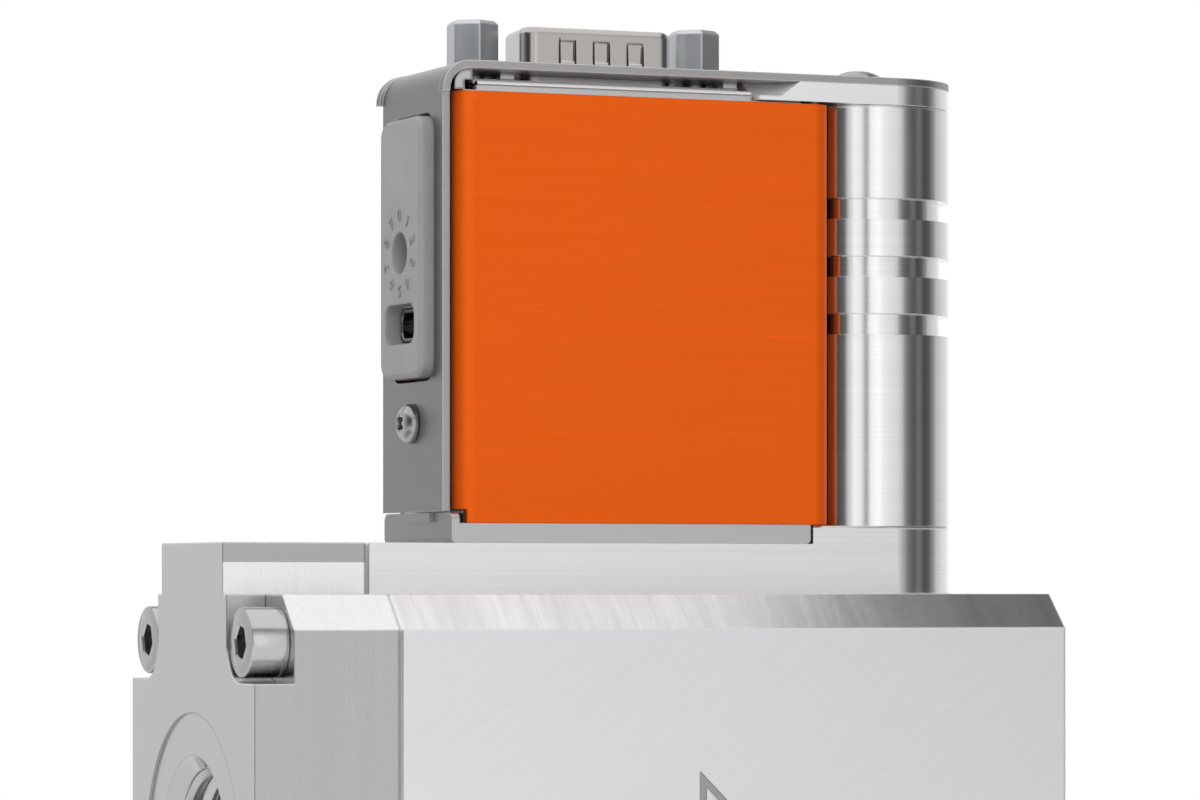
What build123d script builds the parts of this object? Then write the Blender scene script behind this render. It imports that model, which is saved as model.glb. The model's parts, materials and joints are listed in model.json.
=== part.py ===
"""Compact mass flow controller: fluid block, electronics head and solenoid valve.

Millimetres. X runs from the inlet to the outlet, -Y is the side with the flow arrow,
+Z is up. The origin is the centre of the fluid block's bottom face.
"""
from build123d import *
import os
from math import cos, radians, sin

os.makedirs("parts", exist_ok=True)

# ---------------------------------------------------------------- fluid block
body_width = 39.0
body_height = 54.0
adapter_length = 15.3
main_length = 74.1
edge_chamfer = 3.5
joint_bevel = 0.25
rib_width = 19.4
rib_height = 5.2
pedestal_rise = 1.9
valve_setback = 14.8

# threaded ports, G 1/2
port_core_d = 18.6
port_mouth_d = 21.4
port_depth = 12.0
spot_face_d = 30.0
spot_face_depth = 0.25

# corner screws of the inlet adapter, M4
screw_d = 4.0
screw_head_d = 7.0
screw_head_height = 4.0
screw_socket_flats = 3.0
screw_socket_depth = 2.2
screw_edge_drop = 4.75
screw_spacing_y = 29.8
screw_length = 20.0
notch_d = 8.0
notch_depth = 4.07
screw_hole_d = 4.5
screw_thread_depth = 12.0
socket_turn = 12.0
notch_run_out = 6.0
thread_clearance = 0.05

# base threads, M5
base_thread_d = 4.2
base_thread_depth = 9.0
base_thread_spacing = 50.0

# flow path
flow_bore_d = 24.0
plenum_d = 21.0
plenum_reach = 48.0
sleeve_fit = 0.05
element_length = 31.0
channel_count = 16
channel_width = 1.1
channel_depth = 3.0
nose_length = 4.5
nose_d = 5.0
filter_d = 21.0
filter_thickness = 2.0
adapter_through_d = 16.0
adapter_seal_thickness = 1.5

# valve
chamber_d = 11.0
plug_bore_d = 13.0
chamber_floor_rise = 12.4
orifice_body_height = 2.6
orifice_d = 1.8
nozzle_d = 3.4
nozzle_height = 0.8
outlet_drill_d = 4.0
outlet_run_d = 12.0
outlet_run_length = 6.0
passage_d = 3.5
passage_angle = 54.0
passage_length = 13.0
small_seal_height = 1.0
plunger_d = 8.0
plunger_length = 27.0
plunger_stroke = 0.5
plunger_bore_d = 5.0
plunger_bore_depth = 7.0
plunger_clearance = 0.08
seat_disc_d = 5.0
seat_disc_thickness = 1.2
seat_disc_recess = 0.9
spring_d = 4.2
spring_wire = 0.5
spring_turns = 2
sleeve_wall = 0.7
sleeve_plug_height = 9.0
pole_fit = 0.02

# coil and its grooved housing
housing_wall = 2.0
housing_top_wall = 2.0
groove_count = 3
groove_width = 2.15
groove_depth = 1.0
groove_pitch = 6.05
groove_start = 20.15
flux_plate_thickness = 2.0
coil_gap = 0.1
lead_slot = (5.0, 3.6)
lead_corner_r = 0.6
lead_drop = 9.0
lead_stand_out = 0.8

# ------------------------------------------------------------ electronics head
head_setback = 8.53
side_plate_width = 17.2
sheet = 0.8
bend_outer_r = 3.0
rim_proud = 0.35
rim_drop = 3.2
side_plate_gap = 1.2
tray_thickness = 2.0
tray_inset = 0.57
tray_valve_gap = 0.35
upstand_thickness = 0.9
upstand_height = 1.1
ear_r = 0.8
ledge_width = 9.0
ledge_height = 0.95
ledge_inset = 0.1
tray_corner_r = 0.5
cover_height = 43.85
cover_valve_setback = 7.5
cover_thickness = 1.2
cover_return = 2.4
cover_corner_r = 2.0
cover_side_gap = 0.3
cover_notch = 1.2
cap_gap = 0.25
cap_thickness = 2.05
cap_length = 15.9
scoop_low_r = 2.55
scoop_high_r = 4.65
scoop_floor = 0.45
scoop_offset = 0.3
chassis_wall = 0.8
chassis_right_gap = 0.6
chassis_step = 0.2
chassis_rim = 0.65
rim_cap_gap = 0.35
lip_length = 1.95
lip_overhang = 0.93
lip_thickness = 1.1
lip_corner_r = 1.6
side_boss_d = 5.0
side_boss_depth = 2.0

# side panel with the address dial and the service socket
panel_width = 11.7
panel_height = 26.7
panel_drop = 12.9
panel_proud = 1.4
panel_corner_r = 1.8
panel_edge_break = 0.4
panel_gap = 0.35
dial_hole_d = 4.3
dial_rise = 27.8
socket_opening = (8.3, 4.1)
socket_opening_r = 1.3
socket_drop = 7.3
socket_setback = 1.8

side_screw_d = 2.0
side_screw_head_d = 4.1
side_screw_head_height = 1.6
side_screw_drop = 4.6
side_screw_length = 4.0
side_screw_break = 0.6
side_socket_flats = 1.3
side_socket_depth = 0.8

# USB-C receptacle
usb_width = 8.94
usb_height = 3.26
usb_depth = 6.5
usb_wall = 0.3
usb_corner_r = 1.25
usb_tongue_size = (6.7, 0.7)
usb_tongue_length = 4.6

# rotary address switch
switch_size = 7.0
switch_depth = 4.6
rotor_d = 3.6
rotor_length = 2.7
rotor_clearance = 0.05
rotor_slot = (2.6, 0.6)
rotor_slot_depth = 0.6
rotor_seat_depth = 1.0

# boards
board_thickness = 1.2
main_board_length = 27.0
board_lift = 2.0
chip_thickness = 0.9
connector_board_length = 28.0
connector_board_width = 13.0

# nine-pin D-sub plug and its jackscrews
dsub_x_offset = 19.14
jack_spacing = 24.99
jack_flats = 4.75
jack_height = 5.0
jack_edge_r = 0.4
jack_thread_d = 2.8
jack_bore_d = 2.35
jack_bore_depth = 4.6
jack_turn = 25.0
jack_stem_length = 4.0
flange_size = (30.81, 12.5)
flange_thickness = 0.5
flange_drop = 0.75
shell_size = (17.2, 8.5)
shell_wall = 0.45
shell_height = 5.9
shell_taper = 8.0
shell_corner_r = 1.5
shell_roll_r = 0.8
shell_mouth_wall = 1.0
dimple_count = 3
dimple_pitch = 3.8
dimple_width = 1.75
dimple_height = 2.1
dimple_depth = 0.25
dimple_shift = 0.2
dimple_rise = 1.9
shell_gap = 0.5
flange_corner_r = 1.0
insulator_rear = (18.8, 10.2, 5.0)
insulator_front = 1.2
pin_width = 0.9
pin_pitch = 2.77
pin_row_gap = 2.84
pin_height = 5.0
pin_fit = 0.02
nut_height = 1.6
spacer_length = 1.6
spacer_shift = 1.4

cap_screw_d = 3.0
cap_screw_head_d = 5.6
cap_screw_head_height = 1.6
cap_screw_length = 12.0
cap_screw_break = 0.8
cap_socket_flats = 2.0
cap_socket_depth = 1.0
screw_hole_gap = 0.2

# flow arrow cut into the front face
arrow_back_x = 2.9
arrow_half_height = 9.1
arrow_line = 0.7
arrow_shaft = (12.0, 8.4)
arrow_depth = 0.12

# sensor in the rib, under the tray
sensor_x = -2.0
sensor_pocket = (24.0, 11.0, 3.0)
sensor_board_size = (22.0, 9.4, 1.2)
pocket_corner_r = 1.5
sensor_tap_d = 1.6
sensor_tap_spacing = 14.0
sensor_gasket = (20.0, 5.0)
sensor_chip_size = (6.0, 5.0, 0.8)
header_pin = 0.64
header_pitch = 2.0
header_count = 5
header_slot = (12.0, 3.0)
header_offset = (4.0, 1.0)
header_length = 8.0
tray_socket_flats = 1.5
tray_screw_d = 2.5
tray_screw_head_d = 4.6
tray_screw_length = 7.0
tray_screw_spacing = 28.0

# ------------------------------------------------------------- derived places
total_length = adapter_length + main_length
x_inlet = -total_length / 2
x_joint = x_inlet + adapter_length
x_outlet = total_length / 2
element_start = x_joint + adapter_seal_thickness
element_end = element_start + element_length
z_axis = body_height / 2
z_shoulder = body_height
z_rib = z_shoulder + rib_height
z_tray = z_rib + tray_thickness
z_pedestal = z_rib + pedestal_rise
z_cover_top = z_tray + cover_height
z_cap = z_cover_top + cap_gap
z_strip = z_cap + cap_thickness
z_top = z_strip + sheet
valve_x = x_outlet - valve_setback
housing_d = rib_width
housing_bore_d = housing_d - 2 * housing_wall
coil_d = housing_bore_d - 2 * coil_gap
head_width = rib_width
head_left = x_joint + head_setback
plate_inner_x = head_left + sheet
tray_left = head_left + tray_inset
tray_right = valve_x - housing_d / 2 - tray_valve_gap
cover_left = plate_inner_x + cover_side_gap
cover_right = valve_x - cover_valve_setback
chassis_left = cover_left + cover_thickness
chassis_right = tray_right - chassis_right_gap
chassis_width = head_width - 2 * cover_thickness
dsub_x = head_left + dsub_x_offset
z_flange = z_strip - flange_drop
z_chamber_floor = z_axis + chamber_floor_rise
z_orifice = z_chamber_floor + orifice_body_height
z_plunger = z_orifice + nozzle_height
z_plunger_end = z_plunger + seat_disc_thickness - seat_disc_recess
z_pole = z_plunger_end + plunger_length + plunger_stroke
z_pole_top = z_cap - housing_top_wall
sleeve_bore_d = plunger_d + 2 * plunger_clearance
sleeve_d = sleeve_bore_d + 2 * sleeve_wall
panel_face_x = head_left - panel_proud
usb_front_x = panel_face_x + socket_setback
dial_height = z_tray + dial_rise
socket_height = dial_height - socket_drop
panel_bottom = dial_height - panel_drop
side_screw_height = panel_bottom - side_screw_drop
board_x = usb_front_x + usb_depth
screw_spots = [
    (side * screw_spacing_y / 2, z)
    for side in (-1, 1)
    for z in (screw_edge_drop, body_height - screw_edge_drop)
]


def on_axis(x, z=z_axis):
    """A plane facing +X whose origin lies on the port axis, or at height z."""
    return Plane(origin=(x, 0, z), x_dir=(0, 1, 0), z_dir=(1, 0, 0))


def capsule(left, right_centre, width):
    """A bar from a square left end to a round right end, drawn in the open sketch."""
    with Locations(((left + right_centre) / 2, 0)):
        Rectangle(right_centre - left, width)
    with Locations((right_centre, 0)):
        Circle(width / 2)


def port_section(face_x, inward):
    """Half section of a threaded port: spot face, countersink and thread core."""
    mouth_r = port_mouth_d / 2
    core_r = port_core_d / 2
    cone_end = spot_face_depth + mouth_r - core_r
    section = [
        (0, 0),
        (0, spot_face_d / 2),
        (spot_face_depth, spot_face_d / 2),
        (spot_face_depth, mouth_r),
        (cone_end, core_r),
        (port_depth, core_r),
        (port_depth, 0),
    ]
    Polygon(*[(face_x + inward * x, z_axis + r) for x, r in section], align=None)


def d_outline(width, height, corner_r):
    """The rounded D of the connector, with its wide side towards -Y."""
    lean = height * sin(radians(shell_taper)) / cos(radians(shell_taper))
    outline = Polygon(
        (-width / 2, -height / 2),
        (width / 2, -height / 2),
        (width / 2 - lean, height / 2),
        (-width / 2 + lean, height / 2),
        align=None,
    )
    return fillet(outline.vertices(), corner_r)


port_axis = Axis((0, 0, z_axis), (1, 0, 0))
valve_axis = Axis((valve_x, 0, 0), (0, 0, 1))

with BuildSketch(Plane.YZ) as bar_profile:
    with Locations((0, body_height / 2)):
        Rectangle(body_width, body_height)
    chamfer(bar_profile.vertices(), edge_chamfer)

# --------------------------------------------------------------- fluid block
with BuildPart() as main_body:
    with BuildSketch(Plane.YZ.offset(x_joint)):
        add(bar_profile.sketch_local)
    extrude(amount=main_length)
    with BuildSketch(Plane.XY.offset(z_shoulder)):
        capsule(x_joint, valve_x, rib_width)
    extrude(amount=rib_height)
    with BuildSketch(Plane.XY.offset(z_rib)):
        capsule(tray_right + joint_bevel, valve_x, rib_width)
    extrude(amount=pedestal_rise)
    chamfer(main_body.faces().sort_by(Axis.Z)[-1].outer_wire().edges(), joint_bevel)
    chamfer(main_body.faces().sort_by(Axis.X)[-1].outer_wire().edges(), joint_bevel)
    chamfer(main_body.faces().sort_by(Axis.X)[0].outer_wire().edges(), joint_bevel)
    # flow bore and plenum
    with BuildSketch(on_axis(x_joint)):
        Circle(flow_bore_d / 2)
    extrude(amount=element_end - x_joint, mode=Mode.SUBTRACT)
    with BuildSketch(on_axis(x_joint)):
        Circle(plenum_d / 2)
    extrude(amount=plenum_reach, mode=Mode.SUBTRACT)
    # outlet port, with the drilling that reaches under the valve
    with BuildSketch(Plane.XZ):
        port_section(x_outlet, -1)
    revolve(axis=port_axis, mode=Mode.SUBTRACT)
    with BuildSketch(on_axis(x_outlet - port_depth)):
        Circle(outlet_run_d / 2)
    extrude(amount=-outlet_run_length, mode=Mode.SUBTRACT)
    # valve plug bore, chamber and the drilling down to the outlet
    with BuildSketch(Plane.XY.offset(z_pedestal)):
        with Locations((valve_x, 0)):
            Circle(plug_bore_d / 2)
    extrude(amount=-sleeve_plug_height, mode=Mode.SUBTRACT)
    with BuildSketch(Plane.XY.offset(z_chamber_floor)):
        with Locations((valve_x, 0)):
            Circle(chamber_d / 2)
    extrude(amount=z_pedestal - z_chamber_floor, mode=Mode.SUBTRACT)
    with BuildSketch(Plane.XY.offset(z_chamber_floor)):
        with Locations((valve_x, 0)):
            Circle(outlet_drill_d / 2)
    extrude(amount=-chamber_floor_rise, mode=Mode.SUBTRACT)
    # slanted passage between the plenum and the valve chamber
    slope = radians(passage_angle)
    passage_x = valve_x - chamber_d / 2 + passage_d / 2
    passage_z = z_orifice + passage_d
    passage_way = (-cos(slope), 0, -sin(slope))
    with BuildSketch(Plane((passage_x, 0, passage_z), x_dir=(0, 1, 0), z_dir=passage_way)):
        Circle(passage_d / 2)
    extrude(amount=passage_length, mode=Mode.SUBTRACT)
    # sensor pocket in the rib, with its two taps into the flow bore
    with BuildSketch(Plane.XY.offset(z_rib)):
        with Locations((sensor_x, 0)):
            RectangleRounded(sensor_pocket[0], sensor_pocket[1], pocket_corner_r)
    extrude(amount=-sensor_pocket[2], mode=Mode.SUBTRACT)
    with BuildSketch(Plane.XY.offset(z_rib)):
        with Locations((sensor_x, 0)):
            with GridLocations(sensor_tap_spacing, 0, 2, 1):
                Circle(sensor_tap_d / 2)
    extrude(amount=z_axis - z_rib, mode=Mode.SUBTRACT)
    # threads for the adapter screws, the tray screws and the base
    with BuildSketch(Plane.YZ.offset(x_joint)):
        with Locations(*screw_spots):
            Circle(screw_d / 2 + thread_clearance)
    extrude(amount=screw_thread_depth, mode=Mode.SUBTRACT)
    with BuildSketch(Plane.XY.offset(z_rib)):
        with Locations((sensor_x, 0)):
            with GridLocations(tray_screw_spacing, 0, 2, 1):
                Circle(tray_screw_d / 2 + thread_clearance)
    extrude(amount=-tray_screw_length, mode=Mode.SUBTRACT)
    with BuildSketch(Plane.XY):
        with Locations(((x_joint + x_outlet) / 2, 0)):
            with GridLocations(base_thread_spacing, 0, 2, 1):
                Circle(base_thread_d / 2)
    extrude(amount=base_thread_depth, mode=Mode.SUBTRACT)
    # outlined flow arrow, engraved in the front face
    with BuildSketch(Plane((arrow_back_x, -body_width / 2, z_axis), (1, 0, 0), (0, -1, 0))):
        arrow = Polygon(
            (0, arrow_half_height),
            (0, arrow_shaft[1] / 2),
            (-arrow_shaft[0], arrow_shaft[1] / 2),
            (-arrow_shaft[0], -arrow_shaft[1] / 2),
            (0, -arrow_shaft[1] / 2),
            (0, -arrow_half_height),
            (arrow_half_height, 0),
            align=None,
        )
        offset(arrow, amount=-arrow_line, kind=Kind.INTERSECTION, mode=Mode.SUBTRACT)
    extrude(amount=-arrow_depth, mode=Mode.SUBTRACT)
main_body.part.label = "main_body"
export_step(main_body.part, "parts/main_body.step")

with BuildPart() as inlet_adapter:
    with BuildSketch(Plane.YZ.offset(x_inlet)):
        add(bar_profile.sketch_local)
        with Locations((0, z_shoulder + rib_height / 2)):
            Rectangle(rib_width, rib_height)
    extrude(amount=adapter_length)
    chamfer(inlet_adapter.faces().sort_by(Axis.X)[-1].outer_wire().edges(), joint_bevel)
    # corner notches: counterbores run out through the corner of the block
    with BuildSketch(Plane.YZ.offset(x_inlet)):
        with Locations(*screw_spots):
            Circle(notch_d / 2)
        for side in (-1, 1):
            for top in (-1, 1):
                y = side * screw_spacing_y / 2
                z = z_axis + top * (z_axis - screw_edge_drop)
                out = notch_run_out
                Polygon(
                    (y - side * notch_d / 2, z),
                    (y - side * notch_d / 2, z + top * out),
                    (y + side * out, z + top * out),
                    (y + side * out, z - top * notch_d / 2),
                    (y, z - top * notch_d / 2),
                    (y, z),
                    align=None,
                )
    extrude(amount=notch_depth, mode=Mode.SUBTRACT)
    with BuildSketch(Plane.YZ.offset(x_inlet)):
        with Locations(*screw_spots):
            Circle(screw_hole_d / 2)
    extrude(amount=adapter_length, mode=Mode.SUBTRACT)
    # port, through bore and filter recess
    with BuildSketch(Plane.XZ):
        port_section(x_inlet, 1)
    revolve(axis=port_axis, mode=Mode.SUBTRACT)
    with BuildSketch(on_axis(x_joint)):
        Circle(adapter_through_d / 2)
    extrude(amount=-adapter_length, mode=Mode.SUBTRACT)
    with BuildSketch(on_axis(x_joint)):
        Circle(filter_d / 2 + sleeve_fit)
    extrude(amount=-filter_thickness, mode=Mode.SUBTRACT)
inlet_adapter.part.label = "inlet_adapter"
export_step(inlet_adapter.part, "parts/inlet_adapter.step")

with BuildPart() as adapter_screws:
    head_seat = x_inlet + notch_depth
    with BuildSketch(Plane.YZ.offset(head_seat)):
        with Locations(*screw_spots):
            Circle(screw_head_d / 2)
    extrude(amount=-screw_head_height)
    with BuildSketch(Plane.YZ.offset(head_seat)):
        with Locations(*screw_spots):
            Circle(screw_d / 2)
    extrude(amount=screw_length)
    with BuildSketch(Plane.YZ.offset(head_seat - screw_head_height)):
        with Locations(*screw_spots):
            RegularPolygon(screw_socket_flats / 2, 6, major_radius=False, rotation=socket_turn)
    extrude(amount=screw_socket_depth, mode=Mode.SUBTRACT)
adapter_screws.part.label = "adapter_screws"
export_step(adapter_screws.part, "parts/adapter_screws.step")

with BuildPart() as adapter_seal:
    with BuildSketch(on_axis(x_joint)):
        Circle(flow_bore_d / 2 - sleeve_fit)
        Circle(plenum_d / 2, mode=Mode.SUBTRACT)
    extrude(amount=adapter_seal_thickness)
adapter_seal.part.label = "adapter_seal"
export_step(adapter_seal.part, "parts/adapter_seal.step")

with BuildPart() as inlet_filter:
    with BuildSketch(on_axis(x_joint - filter_thickness)):
        Circle(filter_d / 2)
    extrude(amount=filter_thickness)
inlet_filter.part.label = "inlet_filter"
export_step(inlet_filter.part, "parts/inlet_filter.step")

# laminar flow element: a core with slots along its rim and a cone behind it
with BuildPart() as flow_element:
    core_r = flow_bore_d / 2 - sleeve_fit
    cone_r = core_r - channel_depth
    with BuildSketch(on_axis(element_start)):
        Circle(core_r)
        with PolarLocations(core_r - channel_depth / 2, channel_count):
            Rectangle(channel_depth + channel_width, channel_width, mode=Mode.SUBTRACT)
    extrude(amount=element_length)
    with BuildSketch(Plane.XZ):
        Polygon(
            (element_end, z_axis),
            (element_end + nose_length, z_axis),
            (element_end + nose_length, z_axis + nose_d / 2),
            (element_end, z_axis + cone_r - channel_width),
            align=None,
        )
    revolve(axis=port_axis)
flow_element.part.label = "flow_element"
export_step(flow_element.part, "parts/flow_element.step")

# -------------------------------------------------------------- flow sensor
z_pocket = z_rib - sensor_pocket[2]
z_sensor_board = z_pocket + small_seal_height
header_x = sensor_x + header_offset[0]
header_y = header_offset[1]

with BuildPart() as sensor_seal:
    with BuildSketch(Plane.XY.offset(z_pocket)):
        with Locations((sensor_x, 0)):
            Rectangle(sensor_gasket[0], sensor_gasket[1])
            with GridLocations(sensor_tap_spacing, 0, 2, 1):
                Circle(sensor_tap_d / 2, mode=Mode.SUBTRACT)
    extrude(amount=small_seal_height)
sensor_seal.part.label = "sensor_seal"
export_step(sensor_seal.part, "parts/sensor_seal.step")

with BuildPart() as sensor_board:
    with BuildSketch(Plane.XY.offset(z_sensor_board)):
        with Locations((sensor_x, 0)):
            Rectangle(sensor_board_size[0], sensor_board_size[1])
    extrude(amount=sensor_board_size[2])
sensor_board.part.label = "sensor_board"
export_step(sensor_board.part, "parts/sensor_board.step")

with BuildPart() as sensor_chip:
    with BuildSketch(Plane.XY.offset(z_sensor_board + sensor_board_size[2])):
        with Locations((sensor_x - sensor_tap_spacing / 2, 0)):
            Rectangle(sensor_chip_size[0], sensor_chip_size[1])
    extrude(amount=sensor_chip_size[2])
sensor_chip.part.label = "sensor_chip"
export_step(sensor_chip.part, "parts/sensor_chip.step")

with BuildPart() as sensor_header:
    with BuildSketch(Plane.XY.offset(z_sensor_board + sensor_board_size[2])):
        with Locations((header_x, header_y)):
            with GridLocations(header_pitch, 0, header_count, 1):
                Rectangle(header_pin, header_pin)
    extrude(amount=header_length)
sensor_header.part.label = "sensor_header"
export_step(sensor_header.part, "parts/sensor_header.step")

# --------------------------------------------------------------------- valve
with BuildPart() as valve_orifice:
    with BuildSketch(Plane.XY.offset(z_chamber_floor)):
        with Locations((valve_x, 0)):
            Circle(chamber_d / 2 - thread_clearance)
    extrude(amount=orifice_body_height)
    with BuildSketch(Plane.XY.offset(z_orifice)):
        with Locations((valve_x, 0)):
            Circle(nozzle_d / 2)
    extrude(amount=nozzle_height)
    with BuildSketch(Plane.XY.offset(z_chamber_floor)):
        with Locations((valve_x, 0)):
            Circle(orifice_d / 2)
    extrude(amount=orifice_body_height + nozzle_height, mode=Mode.SUBTRACT)
valve_orifice.part.label = "valve_orifice"
export_step(valve_orifice.part, "parts/valve_orifice.step")

with BuildPart() as seat_disc:
    with BuildSketch(Plane.XY.offset(z_plunger)):
        with Locations((valve_x, 0)):
            Circle(seat_disc_d / 2)
    extrude(amount=seat_disc_thickness)
seat_disc.part.label = "seat_disc"
export_step(seat_disc.part, "parts/seat_disc.step")

with BuildPart() as valve_plunger:
    with BuildSketch(Plane.XY.offset(z_plunger_end)):
        with Locations((valve_x, 0)):
            Circle(plunger_d / 2)
    extrude(amount=plunger_length)
    with BuildSketch(Plane.XY.offset(z_plunger_end)):
        with Locations((valve_x, 0)):
            Circle(seat_disc_d / 2)
    extrude(amount=seat_disc_recess, mode=Mode.SUBTRACT)
    with BuildSketch(Plane.XY.offset(z_plunger_end + plunger_length)):
        with Locations((valve_x, 0)):
            Circle(plunger_bore_d / 2)
    extrude(amount=-plunger_bore_depth, mode=Mode.SUBTRACT)
valve_plunger.part.label = "valve_plunger"
export_step(valve_plunger.part, "parts/valve_plunger.step")

spring_length = plunger_bore_depth + plunger_stroke
spring_rise = spring_length - spring_wire
spring_path_r = (spring_d - spring_wire) / 2
spring_floor = z_pole - spring_length + spring_wire / 2
spring_path = Pos(valve_x, 0, spring_floor) * Helix(
    spring_rise / spring_turns, spring_rise, spring_path_r
)
with BuildPart() as plunger_spring:
    with BuildLine():
        add(spring_path)
    with BuildSketch(Plane(origin=spring_path @ 0, z_dir=spring_path % 0)):
        Rectangle(spring_wire, spring_wire)
    sweep()
plunger_spring.part.label = "plunger_spring"
export_step(plunger_spring.part, "parts/plunger_spring.step")

with BuildPart() as valve_sleeve:
    with BuildSketch(Plane.XY.offset(z_pedestal)):
        with Locations((valve_x, 0)):
            Circle(plug_bore_d / 2 - sleeve_fit)
    extrude(amount=small_seal_height - sleeve_plug_height)
    with BuildSketch(Plane.XY.offset(z_pedestal)):
        with Locations((valve_x, 0)):
            Circle(sleeve_d / 2)
    extrude(amount=z_pole_top - z_pedestal)
    with BuildSketch(Plane.XY.offset(z_pole_top)):
        with Locations((valve_x, 0)):
            Circle(sleeve_bore_d / 2)
    extrude(amount=z_pedestal - sleeve_plug_height - z_pole_top, mode=Mode.SUBTRACT)
valve_sleeve.part.label = "valve_sleeve"
export_step(valve_sleeve.part, "parts/valve_sleeve.step")

with BuildPart() as sleeve_seal:
    with BuildSketch(Plane.XY.offset(z_pedestal - sleeve_plug_height)):
        with Locations((valve_x, 0)):
            Circle(plug_bore_d / 2 - sleeve_fit)
            Circle(chamber_d / 2, mode=Mode.SUBTRACT)
    extrude(amount=small_seal_height)
sleeve_seal.part.label = "sleeve_seal"
export_step(sleeve_seal.part, "parts/sleeve_seal.step")

with BuildPart() as pole_piece:
    with BuildSketch(Plane.XY.offset(z_pole)):
        with Locations((valve_x, 0)):
            Circle(sleeve_bore_d / 2 - pole_fit)
    extrude(amount=z_pole_top - z_pole)
    with BuildSketch(Plane.XY.offset(z_pole_top)):
        with Locations((valve_x, 0)):
            Circle(cap_screw_d / 2 + thread_clearance)
    extrude(amount=-cap_screw_length, mode=Mode.SUBTRACT)
pole_piece.part.label = "pole_piece"
export_step(pole_piece.part, "parts/pole_piece.step")

# ------------------------------------------------------------ coil and housing
with BuildPart() as flux_plate:
    with BuildSketch(Plane.XY.offset(z_pedestal)):
        with Locations((valve_x, 0)):
            Circle(housing_bore_d / 2 - sleeve_fit)
            Circle(sleeve_d / 2 + sleeve_fit, mode=Mode.SUBTRACT)
    extrude(amount=flux_plate_thickness)
flux_plate.part.label = "flux_plate"
export_step(flux_plate.part, "parts/flux_plate.step")

z_coil = z_pedestal + flux_plate_thickness
with BuildPart() as valve_coil:
    with BuildSketch(Plane.XY.offset(z_coil)):
        with Locations((valve_x, 0)):
            Circle(coil_d / 2)
            Circle(sleeve_d / 2 + sleeve_fit, mode=Mode.SUBTRACT)
    extrude(amount=z_pole_top - z_coil)
valve_coil.part.label = "valve_coil"
export_step(valve_coil.part, "parts/valve_coil.step")

with BuildPart() as coil_housing:
    with BuildSketch(Plane.XY.offset(z_pedestal)):
        with Locations((valve_x, 0)):
            Circle(housing_d / 2)
    extrude(amount=z_cap - z_pedestal)
    chamfer(coil_housing.faces().sort_by(Axis.Z)[-1].edges(), joint_bevel)
    with BuildSketch(Plane.XZ):
        outer_x = valve_x + housing_d / 2
        floor_x = outer_x - groove_depth
        for turn in range(groove_count):
            low = z_pedestal + groove_start + turn * groove_pitch
            Polygon(
                (outer_x, low),
                (floor_x, low),
                (floor_x, low + groove_width),
                (outer_x, low + groove_width),
                align=None,
            )
    revolve(axis=valve_axis, mode=Mode.SUBTRACT)
    with BuildSketch(Plane.XY.offset(z_pedestal)):
        with Locations((valve_x, 0)):
            Circle(housing_bore_d / 2)
    extrude(amount=z_pole_top - z_pedestal, mode=Mode.SUBTRACT)
    with BuildSketch(Plane.XY.offset(z_cap)):
        with Locations((valve_x, 0)):
            Circle(cap_screw_d / 2 + screw_hole_gap)
    extrude(amount=-housing_top_wall, mode=Mode.SUBTRACT)
    with BuildSketch(Plane.YZ.offset(valve_x)):
        with Locations((0, z_cap - lead_drop)):
            RectangleRounded(lead_slot[0], lead_slot[1], lead_corner_r)
    extrude(amount=-housing_d, mode=Mode.SUBTRACT)
coil_housing.part.label = "coil_housing"
export_step(coil_housing.part, "parts/coil_housing.step")

with BuildPart() as coil_plug:
    with BuildSketch(Plane.YZ.offset(valve_x - housing_bore_d / 2)):
        with Locations((0, z_cap - lead_drop)):
            RectangleRounded(
                lead_slot[0] - 2 * sleeve_fit, lead_slot[1] - 2 * sleeve_fit, lead_corner_r
            )
    extrude(amount=-(housing_d - housing_bore_d) / 2 - lead_stand_out)
coil_plug.part.label = "coil_plug"
export_step(coil_plug.part, "parts/coil_plug.step")

with BuildPart() as coil_cap:
    with BuildSketch(Plane.XY.offset(z_cap)):
        capsule(valve_x - cap_length, valve_x, head_width)
    extrude(amount=cap_thickness)
    # conical scoops at the left corners, beside the jackscrew
    scoop_height = cap_thickness - scoop_floor
    for side in (-1, 1):
        scoop_y = side * (head_width / 2 + scoop_offset)
        spot = (valve_x - cap_length, scoop_y, z_cap + scoop_floor + scoop_height / 2)
        with Locations(spot):
            Cone(scoop_low_r, scoop_high_r, scoop_height, mode=Mode.SUBTRACT)
    with BuildSketch(Plane.XY.offset(z_cap)):
        with Locations((valve_x, 0)):
            Circle(cap_screw_d / 2 + screw_hole_gap)
    extrude(amount=cap_thickness, mode=Mode.SUBTRACT)
coil_cap.part.label = "coil_cap"
export_step(coil_cap.part, "parts/coil_cap.step")

with BuildPart() as cap_screw:
    with BuildSketch(Plane.XY.offset(z_top)):
        with Locations((valve_x, 0)):
            Circle(cap_screw_head_d / 2)
    extrude(amount=cap_screw_head_height)
    chamfer(cap_screw.faces().sort_by(Axis.Z)[-1].edges(), cap_screw_break)
    with BuildSketch(Plane.XY.offset(z_top)):
        with Locations((valve_x, 0)):
            Circle(cap_screw_d / 2)
    extrude(amount=-cap_screw_length)
    with BuildSketch(Plane.XY.offset(z_top + cap_screw_head_height)):
        with Locations((valve_x, 0)):
            RegularPolygon(cap_socket_flats / 2, 6, major_radius=False)
    extrude(amount=-cap_socket_depth, mode=Mode.SUBTRACT)
cap_screw.part.label = "cap_screw"
export_step(cap_screw.part, "parts/cap_screw.step")

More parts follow.
